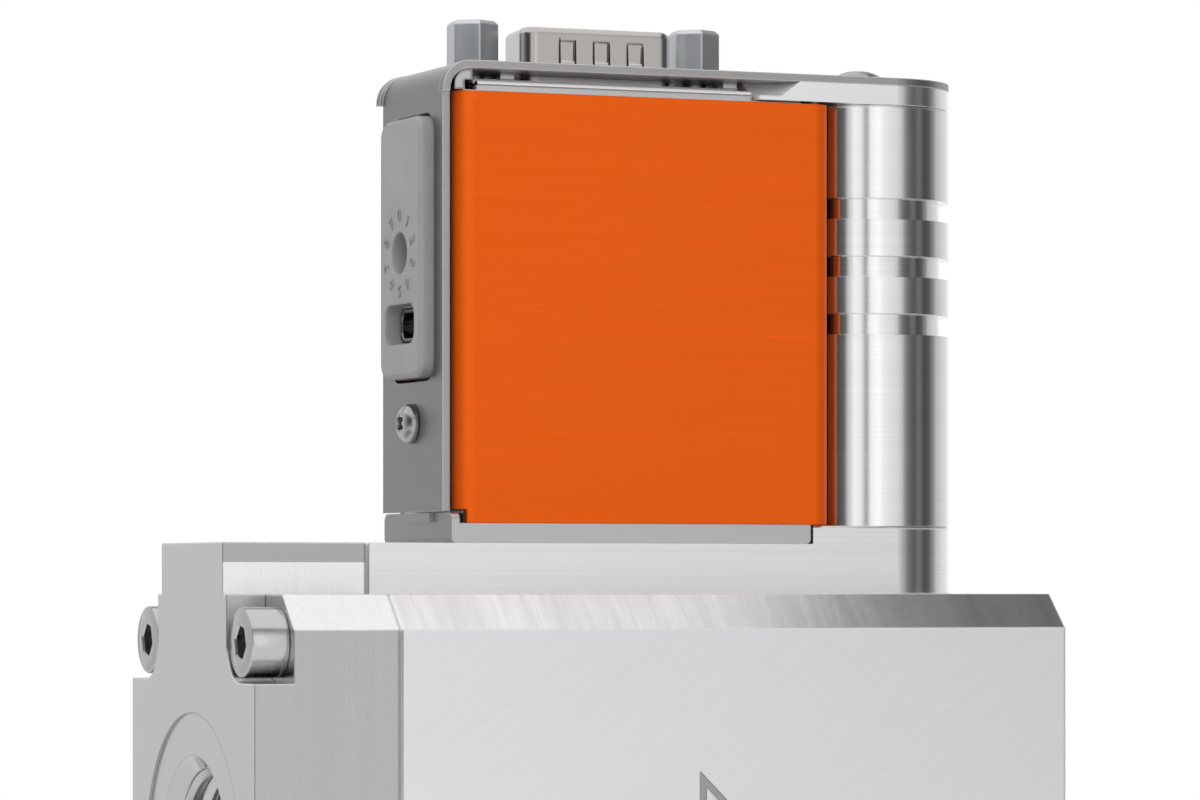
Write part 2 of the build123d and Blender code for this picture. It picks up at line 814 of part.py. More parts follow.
# ------------------------------------------------------------------ head base
with BuildPart() as base_tray:
    with BuildSketch(Plane.XZ):
        with Locations(((tray_left + tray_right) / 2, (z_rib + z_tray) / 2)):
            plate = Rectangle(tray_right - tray_left, tray_thickness)
        fillet(plate.vertices().group_by(Axis.Y)[0], tray_corner_r)
    extrude(amount=head_width / 2, both=True)
    # upstand with rounded ears, and the ledge under the side plate
    with BuildSketch(Plane.YZ.offset(tray_left)):
        with Locations((0, z_tray + upstand_height / 2)):
            ears = Rectangle(head_width, upstand_height)
        fillet(ears.vertices().group_by(Axis.Y)[-1], ear_r)
    extrude(amount=upstand_thickness)
    with BuildSketch(Plane.YZ.offset(tray_left)):
        with Locations((0, z_tray + upstand_height - ledge_height / 2)):
            Rectangle(ledge_width, ledge_height)
    extrude(amount=ledge_inset - tray_inset)
    # slot for the sensor header, countersunk screw holes
    with BuildSketch(Plane.XY.offset(z_tray)):
        with Locations((header_x, header_y)):
            Rectangle(header_slot[0], header_slot[1])
    extrude(amount=-tray_thickness, mode=Mode.SUBTRACT)
    with Locations((sensor_x, 0, z_tray)):
        with GridLocations(tray_screw_spacing, 0, 2, 1):
            CounterSinkHole(
                tray_screw_d / 2 + screw_hole_gap,
                tray_screw_head_d / 2 + screw_hole_gap,
                depth=tray_thickness,
            )
base_tray.part.label = "base_tray"
export_step(base_tray.part, "parts/base_tray.step")

with BuildPart() as tray_screws:
    screw_r = tray_screw_d / 2
    screw_head_r = tray_screw_head_d / 2
    with BuildSketch(Plane.XZ):
        Polygon(
            (0, z_tray),
            (0, z_tray - tray_screw_length),
            (screw_r, z_tray - tray_screw_length),
            (screw_r, z_tray - (screw_head_r - screw_r)),
            (screw_head_r, z_tray),
            align=None,
        )
    revolve(axis=Axis.Z)
    with BuildSketch(Plane.XY.offset(z_tray)):
        RegularPolygon(tray_socket_flats / 2, 6, major_radius=False)
    extrude(amount=-tray_socket_flats / 2, mode=Mode.SUBTRACT)
tray_pair = Compound(
    [
        tray_screws.part.solid().moved(Location((sensor_x + side * tray_screw_spacing / 2, 0, 0)))
        for side in (-1, 1)
    ]
)
tray_pair.label = "tray_screws"
export_step(tray_pair, "parts/tray_screws.step")

# -------------------------------------------------------------- head chassis
with BuildPart() as chassis:
    tub_length = chassis_right - chassis_left
    z_tub = z_cover_top + chassis_step
    rim_left = dsub_x - flange_size[0] / 2
    rim_right = valve_x - cap_length - rim_cap_gap
    with BuildSketch(Plane.XZ):
        with Locations(((chassis_left + chassis_right) / 2, (z_tray + z_tub) / 2)):
            Rectangle(tub_length, z_tub - z_tray)
        with Locations(((rim_left + rim_right) / 2, z_cover_top + chassis_rim / 2)):
            Rectangle(rim_right - rim_left, chassis_rim)
    extrude(amount=chassis_width / 2, both=True)
    with BuildSketch(Plane.XY.offset(z_tray + chassis_wall)):
        with Locations(((chassis_left + chassis_right) / 2, 0)):
            Rectangle(tub_length - 2 * chassis_wall, chassis_width - 2 * chassis_wall)
    extrude(amount=z_strip - z_tray, mode=Mode.SUBTRACT)
    # hooked lip at the left end, bent over towards the connector
    with BuildSketch(Plane.XZ):
        with Locations((chassis_left - lip_overhang + lip_length / 2, (z_tub + z_strip) / 2)):
            hook = Rectangle(lip_length, z_strip - z_tub)
        fillet(hook.vertices().group_by(Axis.X)[0].sort_by(Axis.Y)[-1], lip_corner_r)
        under_left = chassis_left - lip_overhang + lip_thickness
        with Locations((under_left + lip_length / 2, z_strip - lip_thickness - (z_strip - z_tub) / 2)):
            Rectangle(lip_length, z_strip - z_tub, mode=Mode.SUBTRACT)
    extrude(amount=chassis_width / 2, both=True)
    # boss for the side screw
    with BuildSketch(Plane.YZ.offset(plate_inner_x)):
        with Locations((0, side_screw_height)):
            Circle(side_boss_d / 2)
    extrude(amount=chassis_left - plate_inner_x + side_boss_depth)
    with BuildSketch(Plane.YZ.offset(plate_inner_x)):
        with Locations((0, side_screw_height)):
            Circle(side_screw_d / 2 + thread_clearance)
    extrude(amount=chassis_left - plate_inner_x + side_boss_depth, mode=Mode.SUBTRACT)
    # window for the dial and the socket, slot for the header
    with BuildSketch(Plane.YZ.offset(chassis_left)):
        with Locations((0, (dial_height + switch_size / 2 + socket_height - usb_width / 4) / 2)):
            window_height = dial_height + switch_size - socket_height + usb_width / 4
            Rectangle(usb_width + 2 * panel_gap, window_height)
    extrude(amount=chassis_wall, mode=Mode.SUBTRACT)
    with BuildSketch(Plane.XY.offset(z_tray)):
        with Locations((header_x, header_y)):
            Rectangle(header_slot[0], header_slot[1])
    extrude(amount=chassis_wall, mode=Mode.SUBTRACT)
chassis.part.label = "chassis"
export_step(chassis.part, "parts/chassis.step")

# ---------------------------------------------------------------- side covers
with BuildPart() as front_cover:
    with BuildSketch(Plane.XY.offset(z_tray)):
        shell = Polygon(
            (cover_left, -head_width / 2),
            (cover_right, -head_width / 2),
            (cover_right, cover_return - head_width / 2),
            (cover_left, cover_return - head_width / 2),
            align=None,
        )
        fillet(shell.vertices().group_by(Axis.Y)[0], cover_corner_r)
        Polygon(
            (cover_left + cover_thickness, cover_thickness - head_width / 2),
            (cover_right - cover_thickness, cover_thickness - head_width / 2),
            (cover_right - cover_thickness, cover_return - head_width / 2),
            (cover_left + cover_thickness, cover_return - head_width / 2),
            align=None,
            mode=Mode.SUBTRACT,
        )
    extrude(amount=cover_height)
    with BuildSketch(Plane.XZ.offset(head_width / 2 - cover_return)):
        with Locations((cover_left, z_tray)):
            Rectangle(2 * cover_notch, 2 * (upstand_height + cover_side_gap))
    extrude(amount=cover_return, mode=Mode.SUBTRACT)
front_cover.part.label = "front_cover"
export_step(front_cover.part, "parts/front_cover.step")

with BuildPart() as back_cover:
    mirror(front_cover.part, about=Plane.XZ)
back_cover.part.label = "back_cover"
export_step(back_cover.part, "parts/back_cover.step")


# --------------------------------------------------- top strip with side plate
def bent_path(left, low):
    """Middle line of the bent sheet: up the side, round the bend and along the top."""
    middle = sheet / 2
    return FilletPolyline(
        (left + middle, low),
        (left + middle, z_top - middle),
        (valve_x + head_width, z_top - middle),
        radius=bend_outer_r - middle,
    )


strip_path = bent_path(head_left, z_tray + side_plate_gap)
rim_path = bent_path(head_left - rim_proud, z_top - rim_drop)
with BuildPart() as top_strip:
    with BuildSketch(Plane.XZ):
        trace(strip_path.edges(), line_width=sheet)
    extrude(amount=side_plate_width / 2, both=True)
    with BuildSketch(Plane.XZ.offset(side_plate_width / 2)):
        trace(rim_path.edges(), line_width=sheet)
    rim = extrude(amount=(head_width - side_plate_width) / 2)
    mirror(rim, about=Plane.XZ)
    with BuildSketch(Plane.XY):
        capsule(head_left - head_width, valve_x, head_width)
    extrude(amount=z_top, mode=Mode.INTERSECT)
    # opening for the side panel, and the screw hole under it
    with BuildSketch(Plane.YZ.offset(head_left)):
        with Locations((0, panel_bottom + panel_height / 2)):
            RectangleRounded(
                panel_width + 2 * panel_gap, panel_height + 2 * panel_gap, panel_corner_r + panel_gap
            )
        with Locations((0, side_screw_height)):
            Circle(side_screw_d / 2 + screw_hole_gap)
    extrude(amount=sheet, mode=Mode.SUBTRACT)
    # connector opening, jackscrew holes and the cap screw hole
    with BuildSketch(Plane.XY.offset(z_top)):
        with Locations((dsub_x, 0)):
            RectangleRounded(shell_size[0] + shell_gap, shell_size[1] + shell_gap, shell_corner_r)
        with Locations((dsub_x, 0)):
            with GridLocations(jack_spacing, 0, 2, 1):
                Circle(jack_thread_d / 2 + screw_hole_gap)
        with Locations((valve_x, 0)):
            Circle(cap_screw_d / 2 + screw_hole_gap)
    extrude(amount=-sheet, mode=Mode.SUBTRACT)
top_strip.part.label = "top_strip"
export_step(top_strip.part, "parts/top_strip.step")

# ------------------------------------------------- side panel, dial and socket
with BuildPart() as side_panel:
    with BuildSketch(Plane.YZ.offset(chassis_left)):
        with Locations((0, panel_bottom + panel_height / 2)):
            RectangleRounded(panel_width, panel_height, panel_corner_r)
    extrude(amount=panel_face_x - chassis_left)
    chamfer(side_panel.faces().sort_by(Axis.X)[0].edges(), panel_edge_break)
    with BuildSketch(Plane.YZ.offset(panel_face_x)):
        with Locations((0, dial_height)):
            Circle(dial_hole_d / 2)
        with Locations((0, socket_height)):
            RectangleRounded(socket_opening[0], socket_opening[1], socket_opening_r)
    extrude(amount=socket_setback, mode=Mode.SUBTRACT)
    # pockets behind the face for the switch and the receptacle
    with BuildSketch(Plane.YZ.offset(chassis_left)):
        with Locations((0, dial_height)):
            Circle(dial_hole_d / 2)
        with Locations((0, socket_height)):
            RectangleRounded(usb_width + panel_gap, usb_height + panel_gap, usb_corner_r)
    extrude(amount=usb_front_x - chassis_left - sleeve_fit, mode=Mode.SUBTRACT)
side_panel.part.label = "side_panel"
export_step(side_panel.part, "parts/side_panel.step")

with BuildPart() as side_screw:
    with BuildSketch(Plane.YZ.offset(head_left)):
        with Locations((0, side_screw_height)):
            Circle(side_screw_head_d / 2)
    extrude(amount=-side_screw_head_height)
    chamfer(side_screw.faces().sort_by(Axis.X)[0].edges(), side_screw_break)
    with BuildSketch(Plane.YZ.offset(head_left)):
        with Locations((0, side_screw_height)):
            Circle(side_screw_d / 2)
    extrude(amount=side_screw_length)
    with BuildSketch(Plane.YZ.offset(head_left - side_screw_head_height)):
        with Locations((0, side_screw_height)):
            RegularPolygon(side_socket_flats / 2, 6, major_radius=False)
    extrude(amount=side_socket_depth, mode=Mode.SUBTRACT)
side_screw.part.label = "side_screw"
export_step(side_screw.part, "parts/side_screw.step")

z_board_foot = z_tray + chassis_wall + board_lift
z_connector_board = z_flange - flange_thickness - insulator_rear[2] - board_thickness
board_width = chassis_width - 2 * chassis_wall

with BuildPart() as interface_board:
    with BuildSketch(Plane.YZ.offset(board_x)):
        with Locations((0, (z_board_foot + z_connector_board) / 2)):
            Rectangle(board_width, z_connector_board - z_board_foot)
    extrude(amount=board_thickness)
interface_board.part.label = "interface_board"
export_step(interface_board.part, "parts/interface_board.step")

with BuildPart() as usb_shell:
    with BuildSketch(Plane.YZ.offset(usb_front_x)):
        with Locations((0, socket_height)):
            RectangleRounded(usb_width, usb_height, usb_corner_r)
    extrude(amount=usb_depth)
    with BuildSketch(Plane.YZ.offset(usb_front_x)):
        with Locations((0, socket_height)):
            RectangleRounded(
                usb_width - 2 * usb_wall, usb_height - 2 * usb_wall, usb_corner_r - usb_wall
            )
    extrude(amount=usb_depth - usb_wall, mode=Mode.SUBTRACT)
usb_shell.part.label = "usb_shell"
export_step(usb_shell.part, "parts/usb_shell.step")

with BuildPart() as usb_tongue:
    with BuildSketch(Plane.YZ.offset(board_x - usb_wall)):
        with Locations((0, socket_height)):
            Rectangle(usb_tongue_size[0], usb_tongue_size[1])
    extrude(amount=-usb_tongue_length)
usb_tongue.part.label = "usb_tongue"
export_step(usb_tongue.part, "parts/usb_tongue.step")

switch_face_x = board_x - switch_depth
with BuildPart() as switch_body:
    with BuildSketch(Plane.YZ.offset(board_x)):
        with Locations((0, dial_height)):
            Rectangle(switch_size, switch_size)
    extrude(amount=-switch_depth)
    with BuildSketch(Plane.YZ.offset(switch_face_x)):
        with Locations((0, dial_height)):
            Circle(rotor_d / 2 + rotor_clearance)
    extrude(amount=rotor_seat_depth, mode=Mode.SUBTRACT)
switch_body.part.label = "switch_body"
export_step(switch_body.part, "parts/switch_body.step")

with BuildPart() as address_dial:
    rotor_back_x = switch_face_x + rotor_seat_depth - rotor_clearance
    with BuildSketch(Plane.YZ.offset(rotor_back_x)):
        with Locations((0, dial_height)):
            Circle(rotor_d / 2)
    extrude(amount=-rotor_length)
    with BuildSketch(Plane.YZ.offset(rotor_back_x - rotor_length)):
        with Locations((0, dial_height)):
            Rectangle(rotor_slot[1], rotor_slot[0])
            with Locations((0, rotor_slot[0] / 2)):
                RegularPolygon(rotor_slot[1], 3, rotation=90)
    extrude(amount=rotor_slot_depth, mode=Mode.SUBTRACT)
address_dial.part.label = "address_dial"
export_step(address_dial.part, "parts/address_dial.step")

# ------------------------------------------------------------------- circuits
main_left = board_x + board_thickness
with BuildPart() as main_board:
    with BuildSketch(Plane.XZ):
        with Locations((main_left + main_board_length / 2, (z_board_foot + z_connector_board) / 2)):
            Rectangle(main_board_length, z_connector_board - z_board_foot)
    extrude(amount=board_thickness / 2, both=True)
main_board.part.label = "main_board"
export_step(main_board.part, "parts/main_board.step")

# each chip: place along the board, height above its foot, width and height
chip_spots = [
    (8.0, 24.0, 7.0, 7.0),
    (8.0, 12.0, 5.0, 4.0),
    (18.5, 26.0, 4.0, 5.0),
    (18.5, 17.0, 5.0, 6.2),
]
with BuildPart() as board_chips:
    for side in (-1, 1):
        with BuildSketch(Plane.XZ.offset(side * board_thickness / 2)):
            for along, up, wide, high in chip_spots:
                with Locations((main_left + along, z_board_foot + up)):
                    Rectangle(wide, high)
        extrude(amount=side * chip_thickness)
board_chips.part.label = "board_chips"
export_step(board_chips.part, "parts/board_chips.step")

pin_spots = [(dsub_x + (i - 2) * pin_pitch, -pin_row_gap / 2) for i in range(5)]
pin_spots += [(dsub_x + (i - 1.5) * pin_pitch, pin_row_gap / 2) for i in range(4)]
pin_bottom = z_connector_board + board_thickness

with BuildPart() as connector_board:
    with BuildSketch(Plane.XY.offset(z_connector_board)):
        with Locations((dsub_x, 0)):
            Rectangle(connector_board_length, connector_board_width)
    extrude(amount=board_thickness)
connector_board.part.label = "connector_board"
export_step(connector_board.part, "parts/connector_board.step")

# ------------------------------------------------------------ D-sub connector
shell_outline = d_outline(shell_size[0], shell_size[1], shell_corner_r)
cavity_outline = offset(shell_outline, -shell_wall)
insulator_outline = offset(shell_outline, -shell_wall - sleeve_fit)
with BuildPart() as dsub_shell:
    with BuildSketch(Plane.XY.offset(z_flange)):
        with Locations((dsub_x, 0)):
            RectangleRounded(flange_size[0], flange_size[1], flange_corner_r)
    extrude(amount=-flange_thickness)
    with BuildSketch(Plane.XY.offset(z_flange)):
        with Locations((dsub_x, 0)):
            add(shell_outline)
    extrude(amount=shell_height)
    fillet(dsub_shell.faces().sort_by(Axis.Z)[-1].outer_wire().edges(), shell_roll_r)
    with BuildSketch(Plane.XY.offset(z_flange - flange_thickness)):
        with Locations((dsub_x, 0)):
            add(cavity_outline)
            with GridLocations(jack_spacing, 0, 2, 1):
                Circle(jack_thread_d / 2 + screw_hole_gap)
    extrude(amount=flange_thickness + shell_height - shell_mouth_wall, mode=Mode.SUBTRACT)
    with BuildSketch(Plane.XY.offset(z_flange)):
        with Locations((dsub_x, 0)):
            add(offset(shell_outline, -shell_mouth_wall))
    extrude(amount=shell_height, mode=Mode.SUBTRACT)
    # grounding dimples pressed into both long sides
    for side in (-1, 1):
        face_y = side * (shell_size[1] / 2 - dimple_depth)
        with BuildSketch(Plane.XZ.offset(-face_y)):
            with Locations((dsub_x + dimple_shift, z_top + dimple_rise)):
                with GridLocations(dimple_pitch, 0, dimple_count, 1):
                    Rectangle(dimple_width, dimple_height)
        extrude(amount=-side * shell_wall, mode=Mode.SUBTRACT)
dsub_shell.part.label = "dsub_shell"
export_step(dsub_shell.part, "parts/dsub_shell.step")

with BuildPart() as dsub_insulator:
    with BuildSketch(Plane.XY.offset(z_flange - flange_thickness)):
        with Locations((dsub_x, 0)):
            Rectangle(insulator_rear[0], insulator_rear[1])
    extrude(amount=-insulator_rear[2])
    with BuildSketch(Plane.XY.offset(z_flange - flange_thickness)):
        with Locations((dsub_x, 0)):
            add(insulator_outline)
    extrude(amount=flange_thickness + insulator_front)
    with BuildSketch(Plane.XY.offset(z_flange + insulator_front)):
        with Locations(*pin_spots):
            Rectangle(pin_width + 2 * pin_fit, pin_width + 2 * pin_fit)
    extrude(amount=-insulator_front - flange_thickness - insulator_rear[2], mode=Mode.SUBTRACT)
dsub_insulator.part.label = "dsub_insulator"
export_step(dsub_insulator.part, "parts/dsub_insulator.step")

with BuildPart() as dsub_pins:
    with BuildSketch(Plane.XY.offset(pin_bottom)):
        with Locations(*pin_spots):
            Rectangle(pin_width, pin_width)
    extrude(amount=z_flange + pin_height - pin_bottom)
dsub_pins.part.label = "dsub_pins"
export_step(dsub_pins.part, "parts/dsub_pins.step")

with BuildPart() as dsub_spacers:
    with BuildSketch(Plane.XY.offset(z_flange)):
        with Locations((dsub_x + spacer_shift, 0)):
            with GridLocations(jack_spacing, 0, 2, 1):
                Rectangle(spacer_length, flange_size[1])
        with Locations((dsub_x, 0)):
            with GridLocations(jack_spacing, 0, 2, 1):
                Circle(jack_thread_d / 2 + screw_hole_gap, mode=Mode.SUBTRACT)
    extrude(amount=flange_drop)
dsub_spacers.part.label = "dsub_spacers"
export_step(dsub_spacers.part, "parts/dsub_spacers.step")

with BuildPart() as jackscrews:
    with BuildSketch(Plane.XY.offset(z_top)):
        with Locations((dsub_x, 0)):
            with GridLocations(jack_spacing, 0, 2, 1):
                RegularPolygon(jack_flats / 2, 6, major_radius=False, rotation=jack_turn)
    extrude(amount=jack_height)
    chamfer(jackscrews.faces().group_by(Axis.Z)[-1].edges(), jack_edge_r)
    with BuildSketch(Plane.XY.offset(z_top)):
        with Locations((dsub_x, 0)):
            with GridLocations(jack_spacing, 0, 2, 1):
                Circle(jack_thread_d / 2)
    extrude(amount=-jack_stem_length)
    with BuildSketch(Plane.XY.offset(z_top + jack_height)):
        with Locations((dsub_x, 0)):
            with GridLocations(jack_spacing, 0, 2, 1):
                Circle(jack_bore_d / 2)
    extrude(amount=-jack_bore_depth, mode=Mode.SUBTRACT)
jackscrews.part.label = "jackscrews"
export_step(jackscrews.part, "parts/jackscrews.step")

with BuildPart() as jackscrew_nuts:
    with BuildSketch(Plane.XY.offset(z_flange - flange_thickness)):
        with Locations((dsub_x, 0)):
            with GridLocations(jack_spacing, 0, 2, 1):
                RegularPolygon(jack_flats / 2, 6, major_radius=False)
                Circle(jack_thread_d / 2 + thread_clearance, mode=Mode.SUBTRACT)
    extrude(amount=-nut_height)
jackscrew_nuts.part.label = "jackscrew_nuts"
export_step(jackscrew_nuts.part, "parts/jackscrew_nuts.step")
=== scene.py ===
"""Looks of a compact mass flow controller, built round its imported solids.

Each sub-assembly is a class that models its own fine pieces and dresses its own solids.
Sizes in the classes are in millimetres; meshes are made in metres.
"""

import json
import logging
import math
from dataclasses import dataclass
from enum import Enum
from typing import Iterable, Mapping, Optional, Sequence, Union

import bmesh
import bpy
from mathutils import Matrix, Vector

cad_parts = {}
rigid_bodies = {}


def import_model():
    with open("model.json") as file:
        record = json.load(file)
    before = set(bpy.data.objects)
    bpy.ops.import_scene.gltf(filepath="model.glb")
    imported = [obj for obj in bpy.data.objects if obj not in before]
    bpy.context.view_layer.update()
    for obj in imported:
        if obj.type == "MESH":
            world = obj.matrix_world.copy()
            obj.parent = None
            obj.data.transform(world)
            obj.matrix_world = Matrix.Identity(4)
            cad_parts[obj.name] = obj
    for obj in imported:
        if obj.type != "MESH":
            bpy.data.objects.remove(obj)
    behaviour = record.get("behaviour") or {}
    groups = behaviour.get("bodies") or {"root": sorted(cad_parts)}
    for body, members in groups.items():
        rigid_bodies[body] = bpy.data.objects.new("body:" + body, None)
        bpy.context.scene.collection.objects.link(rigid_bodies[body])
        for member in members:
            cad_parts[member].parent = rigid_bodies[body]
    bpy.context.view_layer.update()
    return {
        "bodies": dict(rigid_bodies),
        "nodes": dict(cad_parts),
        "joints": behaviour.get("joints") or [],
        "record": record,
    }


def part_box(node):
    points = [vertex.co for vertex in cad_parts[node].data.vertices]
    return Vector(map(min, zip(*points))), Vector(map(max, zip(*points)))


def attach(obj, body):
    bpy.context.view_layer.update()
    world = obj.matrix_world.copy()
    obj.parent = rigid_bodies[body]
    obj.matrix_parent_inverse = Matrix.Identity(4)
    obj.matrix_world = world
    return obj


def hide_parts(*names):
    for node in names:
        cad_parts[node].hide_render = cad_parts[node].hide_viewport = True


LOG = logging.getLogger("mass_flow_controller")
MM = 0.001

Triple = tuple[float, float, float]
Colour = Triple
Rgba = tuple[float, float, float, float]
Tree = bpy.types.NodeTree
Node = bpy.types.Node
Socket = bpy.types.NodeSocket
Outputs = Mapping[str, Socket]
Fed = Union[Socket, float, Sequence[float]]
Piece = bpy.types.Object
Build = bmesh.types.BMesh
Ring = Sequence[bmesh.types.BMVert]
Points = Iterable[Sequence[float]]


def shade(colour: Colour, share: float = 1.0) -> Rgba:
    """Gives a colour its alpha, lighter or darker by a share and held below full white."""
    return (*(min(part * share, 1.0) for part in colour), 1.0)


def grey(value: float) -> Rgba:
    """Makes a grey with its alpha."""
    return (value, value, value, 1.0)


# ------------------------------------------------------------------ shader bench
class ShaderBench:
    """Places nodes in one tree and joins them."""

    def __init__(self, tree: Tree) -> None:
        """Takes the tree to work in, which is a material's, a world's or a group's."""
        self.tree = tree

    def feed(self, socket: Socket, value: Fed) -> None:
        """Joins a socket to an input, or sets the input's own value.

        Args:
            socket: the input to feed.
            value: an output socket, a number or a run of numbers.
        """
        if isinstance(value, Socket):
            self.tree.links.new(value, socket)
        else:
            socket.default_value = value

    def fill(self, node: Node, **values: Fed) -> None:
        """Feeds several inputs of a node.

        Args:
            node: the node to feed.
            **values: what goes in, by the input's name with _ for a space.
        """
        for label, value in values.items():
            self.feed(node.inputs[label.replace("_", " ")], value)

    def node(
        self, kind: str, feeds: Optional[Mapping[Union[int, str], Fed]] = None, **settings: object
    ) -> Node:
        """Adds a node, sets its options and feeds its inputs.

        Args:
            kind: the node's Blender type name.
            feeds: what goes in, by the input's place or name.
            **settings: options of the node, by attribute name.

        Returns:
            The new node.
        """
        made = self.tree.nodes.new(kind)
        for option, value in settings.items():
            setattr(made, option, value)
        for label, value in (feeds or {}).items():
            self.feed(made.inputs[label], value)
        return made

    def maths(self, operation: str, first: Fed, second: Fed = 0.0, clamp: bool = False) -> Socket:
        """Adds one sum on two values.

        Args:
            operation: a Math node operation.
            first: the first value.
            second: the second value, where the sum has one.
            clamp: whether the result is held between 0 and 1.

        Returns:
            The result's socket.
        """
        feeds = {0: first, 1: second}
        return self.node("ShaderNodeMath", feeds, operation=operation, use_clamp=clamp).outputs[0]

    def times(self, first: Fed, second: Fed) -> Socket:
        """Multiplies two values."""
        return self.maths("MULTIPLY", first, second)

    def vector_maths(self, operation: str, first: Fed, second: Fed = (0.0, 0.0, 0.0)) -> Socket:
        """Adds one sum on vectors and returns the vector or the number it gives."""
        made = self.node("ShaderNodeVectorMath", {0: first, 1: second}, operation=operation)
        return made.outputs[1] if operation in ("DOT_PRODUCT", "LENGTH") else made.outputs[0]

    def scale(self, vector: Fed, share: float) -> Socket:
        """Multiplies every part of a vector or a colour by one share."""
        return self.vector_maths("MULTIPLY", vector, (share, share, share))

    def rotate(self, vector: Fed, turn: Fed) -> Socket:
        """Turns a vector by its angles about X, Y and Z."""
        feeds = {"Vector": vector, "Rotation": turn}
        return self.node("ShaderNodeVectorRotate", feeds, rotation_type="EULER_XYZ").outputs[0]

    def split(self, vector: Fed) -> Sequence[Socket]:
        """Takes a vector apart into its X, Y and Z."""
        return self.node("ShaderNodeSeparateXYZ", {0: vector}).outputs

    def spot(self) -> Socket:
        """Gives the place on the piece, in the piece's own frame."""
        return self.node("ShaderNodeTexCoord").outputs["Object"]

    def noise(self, place: Fed, scale: Fed, **feeds: Fed) -> Socket:
        """Adds a cloudy pattern and returns its value, with the node's other inputs by name."""
        return self.node("ShaderNodeTexNoise", {"Vector": place, "Scale": scale, **feeds}).outputs["Fac"]

    def remap(self, value: Fed, low: float, high: float, to_low: Fed = 0.0, to_high: Fed = 1.0) -> Socket:
        """Carries a value from one span to another and holds it there.

        Args:
            value: the value to carry.
            low: the start of its span.
            high: the end of its span.
            to_low: what the start becomes.
            to_high: what the end becomes.

        Returns:
            The carried value's socket.
        """
        feeds = dict(enumerate((value, low, high, to_low, to_high)))
        return self.node("ShaderNodeMapRange", feeds).outputs[0]

    def fade(self, mask: Fed, off: Fed, on: Fed) -> Socket:
        """Gives one value where a mask is 0 and another where it is 1."""
        return self.remap(mask, 0.0, 1.0, off, on)

    def mix(self, share: Fed, first: Fed, second: Fed) -> Socket:
        """Mixes two colours.

        Args:
            share: how much of the second colour shows, from 0 to 1.
            first: the first colour, with its alpha.
            second: the second colour, with its alpha.

        Returns:
            The mixed colour's socket.
        """
        return self.node("ShaderNodeMix", {0: share, 6: first, 7: second}, data_type="RGBA").outputs[2]

    def tones(self, share: Fed, colour: Colour, low: float, high: float) -> Socket:
        """Mixes a colour's low and high shade."""
        return self.mix(share, shade(colour, low), shade(colour, high))

    def above(self, height: float, mask: Fed) -> Socket:
        """Keeps a mask only above a height in millimetres."""
        return self.times(self.place(Effect.HEIGHT_ZONE, Height=height * MM)["Above"], mask)

    def place(self, effect: "Effect", **values: Fed) -> Outputs:
        """Places an effect's group with its own values.

        Args:
            effect: which effect to place.
            **values: the group's inputs, by name with _ for a space.

        Returns:
            The group's outputs.
        """
        made = self.node("ShaderNodeGroup", node_tree=EffectShelf.take(effect))
        self.fill(made, **values)
        return made.outputs


class Effect(Enum):
    """The shared surface effects: each group's name, inputs and outputs."""

    STRAIGHT_GRAIN = ("Straight Grain", ("Stretch", "Turn"), ("Streaks", "Bands"))
    TURNED_RINGS = ("Turned Rings", ("Centre", "Turn", "Fineness"), ("Rings", "Bands"))
    ROUNDED_EDGE = ("Rounded Edge", ("Radius", "Gain"), ("Edge", "Brow", "Normal"))
    MOULDED_SKIN = ("Moulded Skin", ("Fineness",), ("Height", "Tone"))
    HANDLING = ("Handling", ("Fineness",), ("Smudge",))
    HEIGHT_ZONE = ("Height Zone", ("Height",), ("Above",))
    FACING = ("Facing", (), ("Ends", "Sides", "Slopes", "Under", "Starts"))


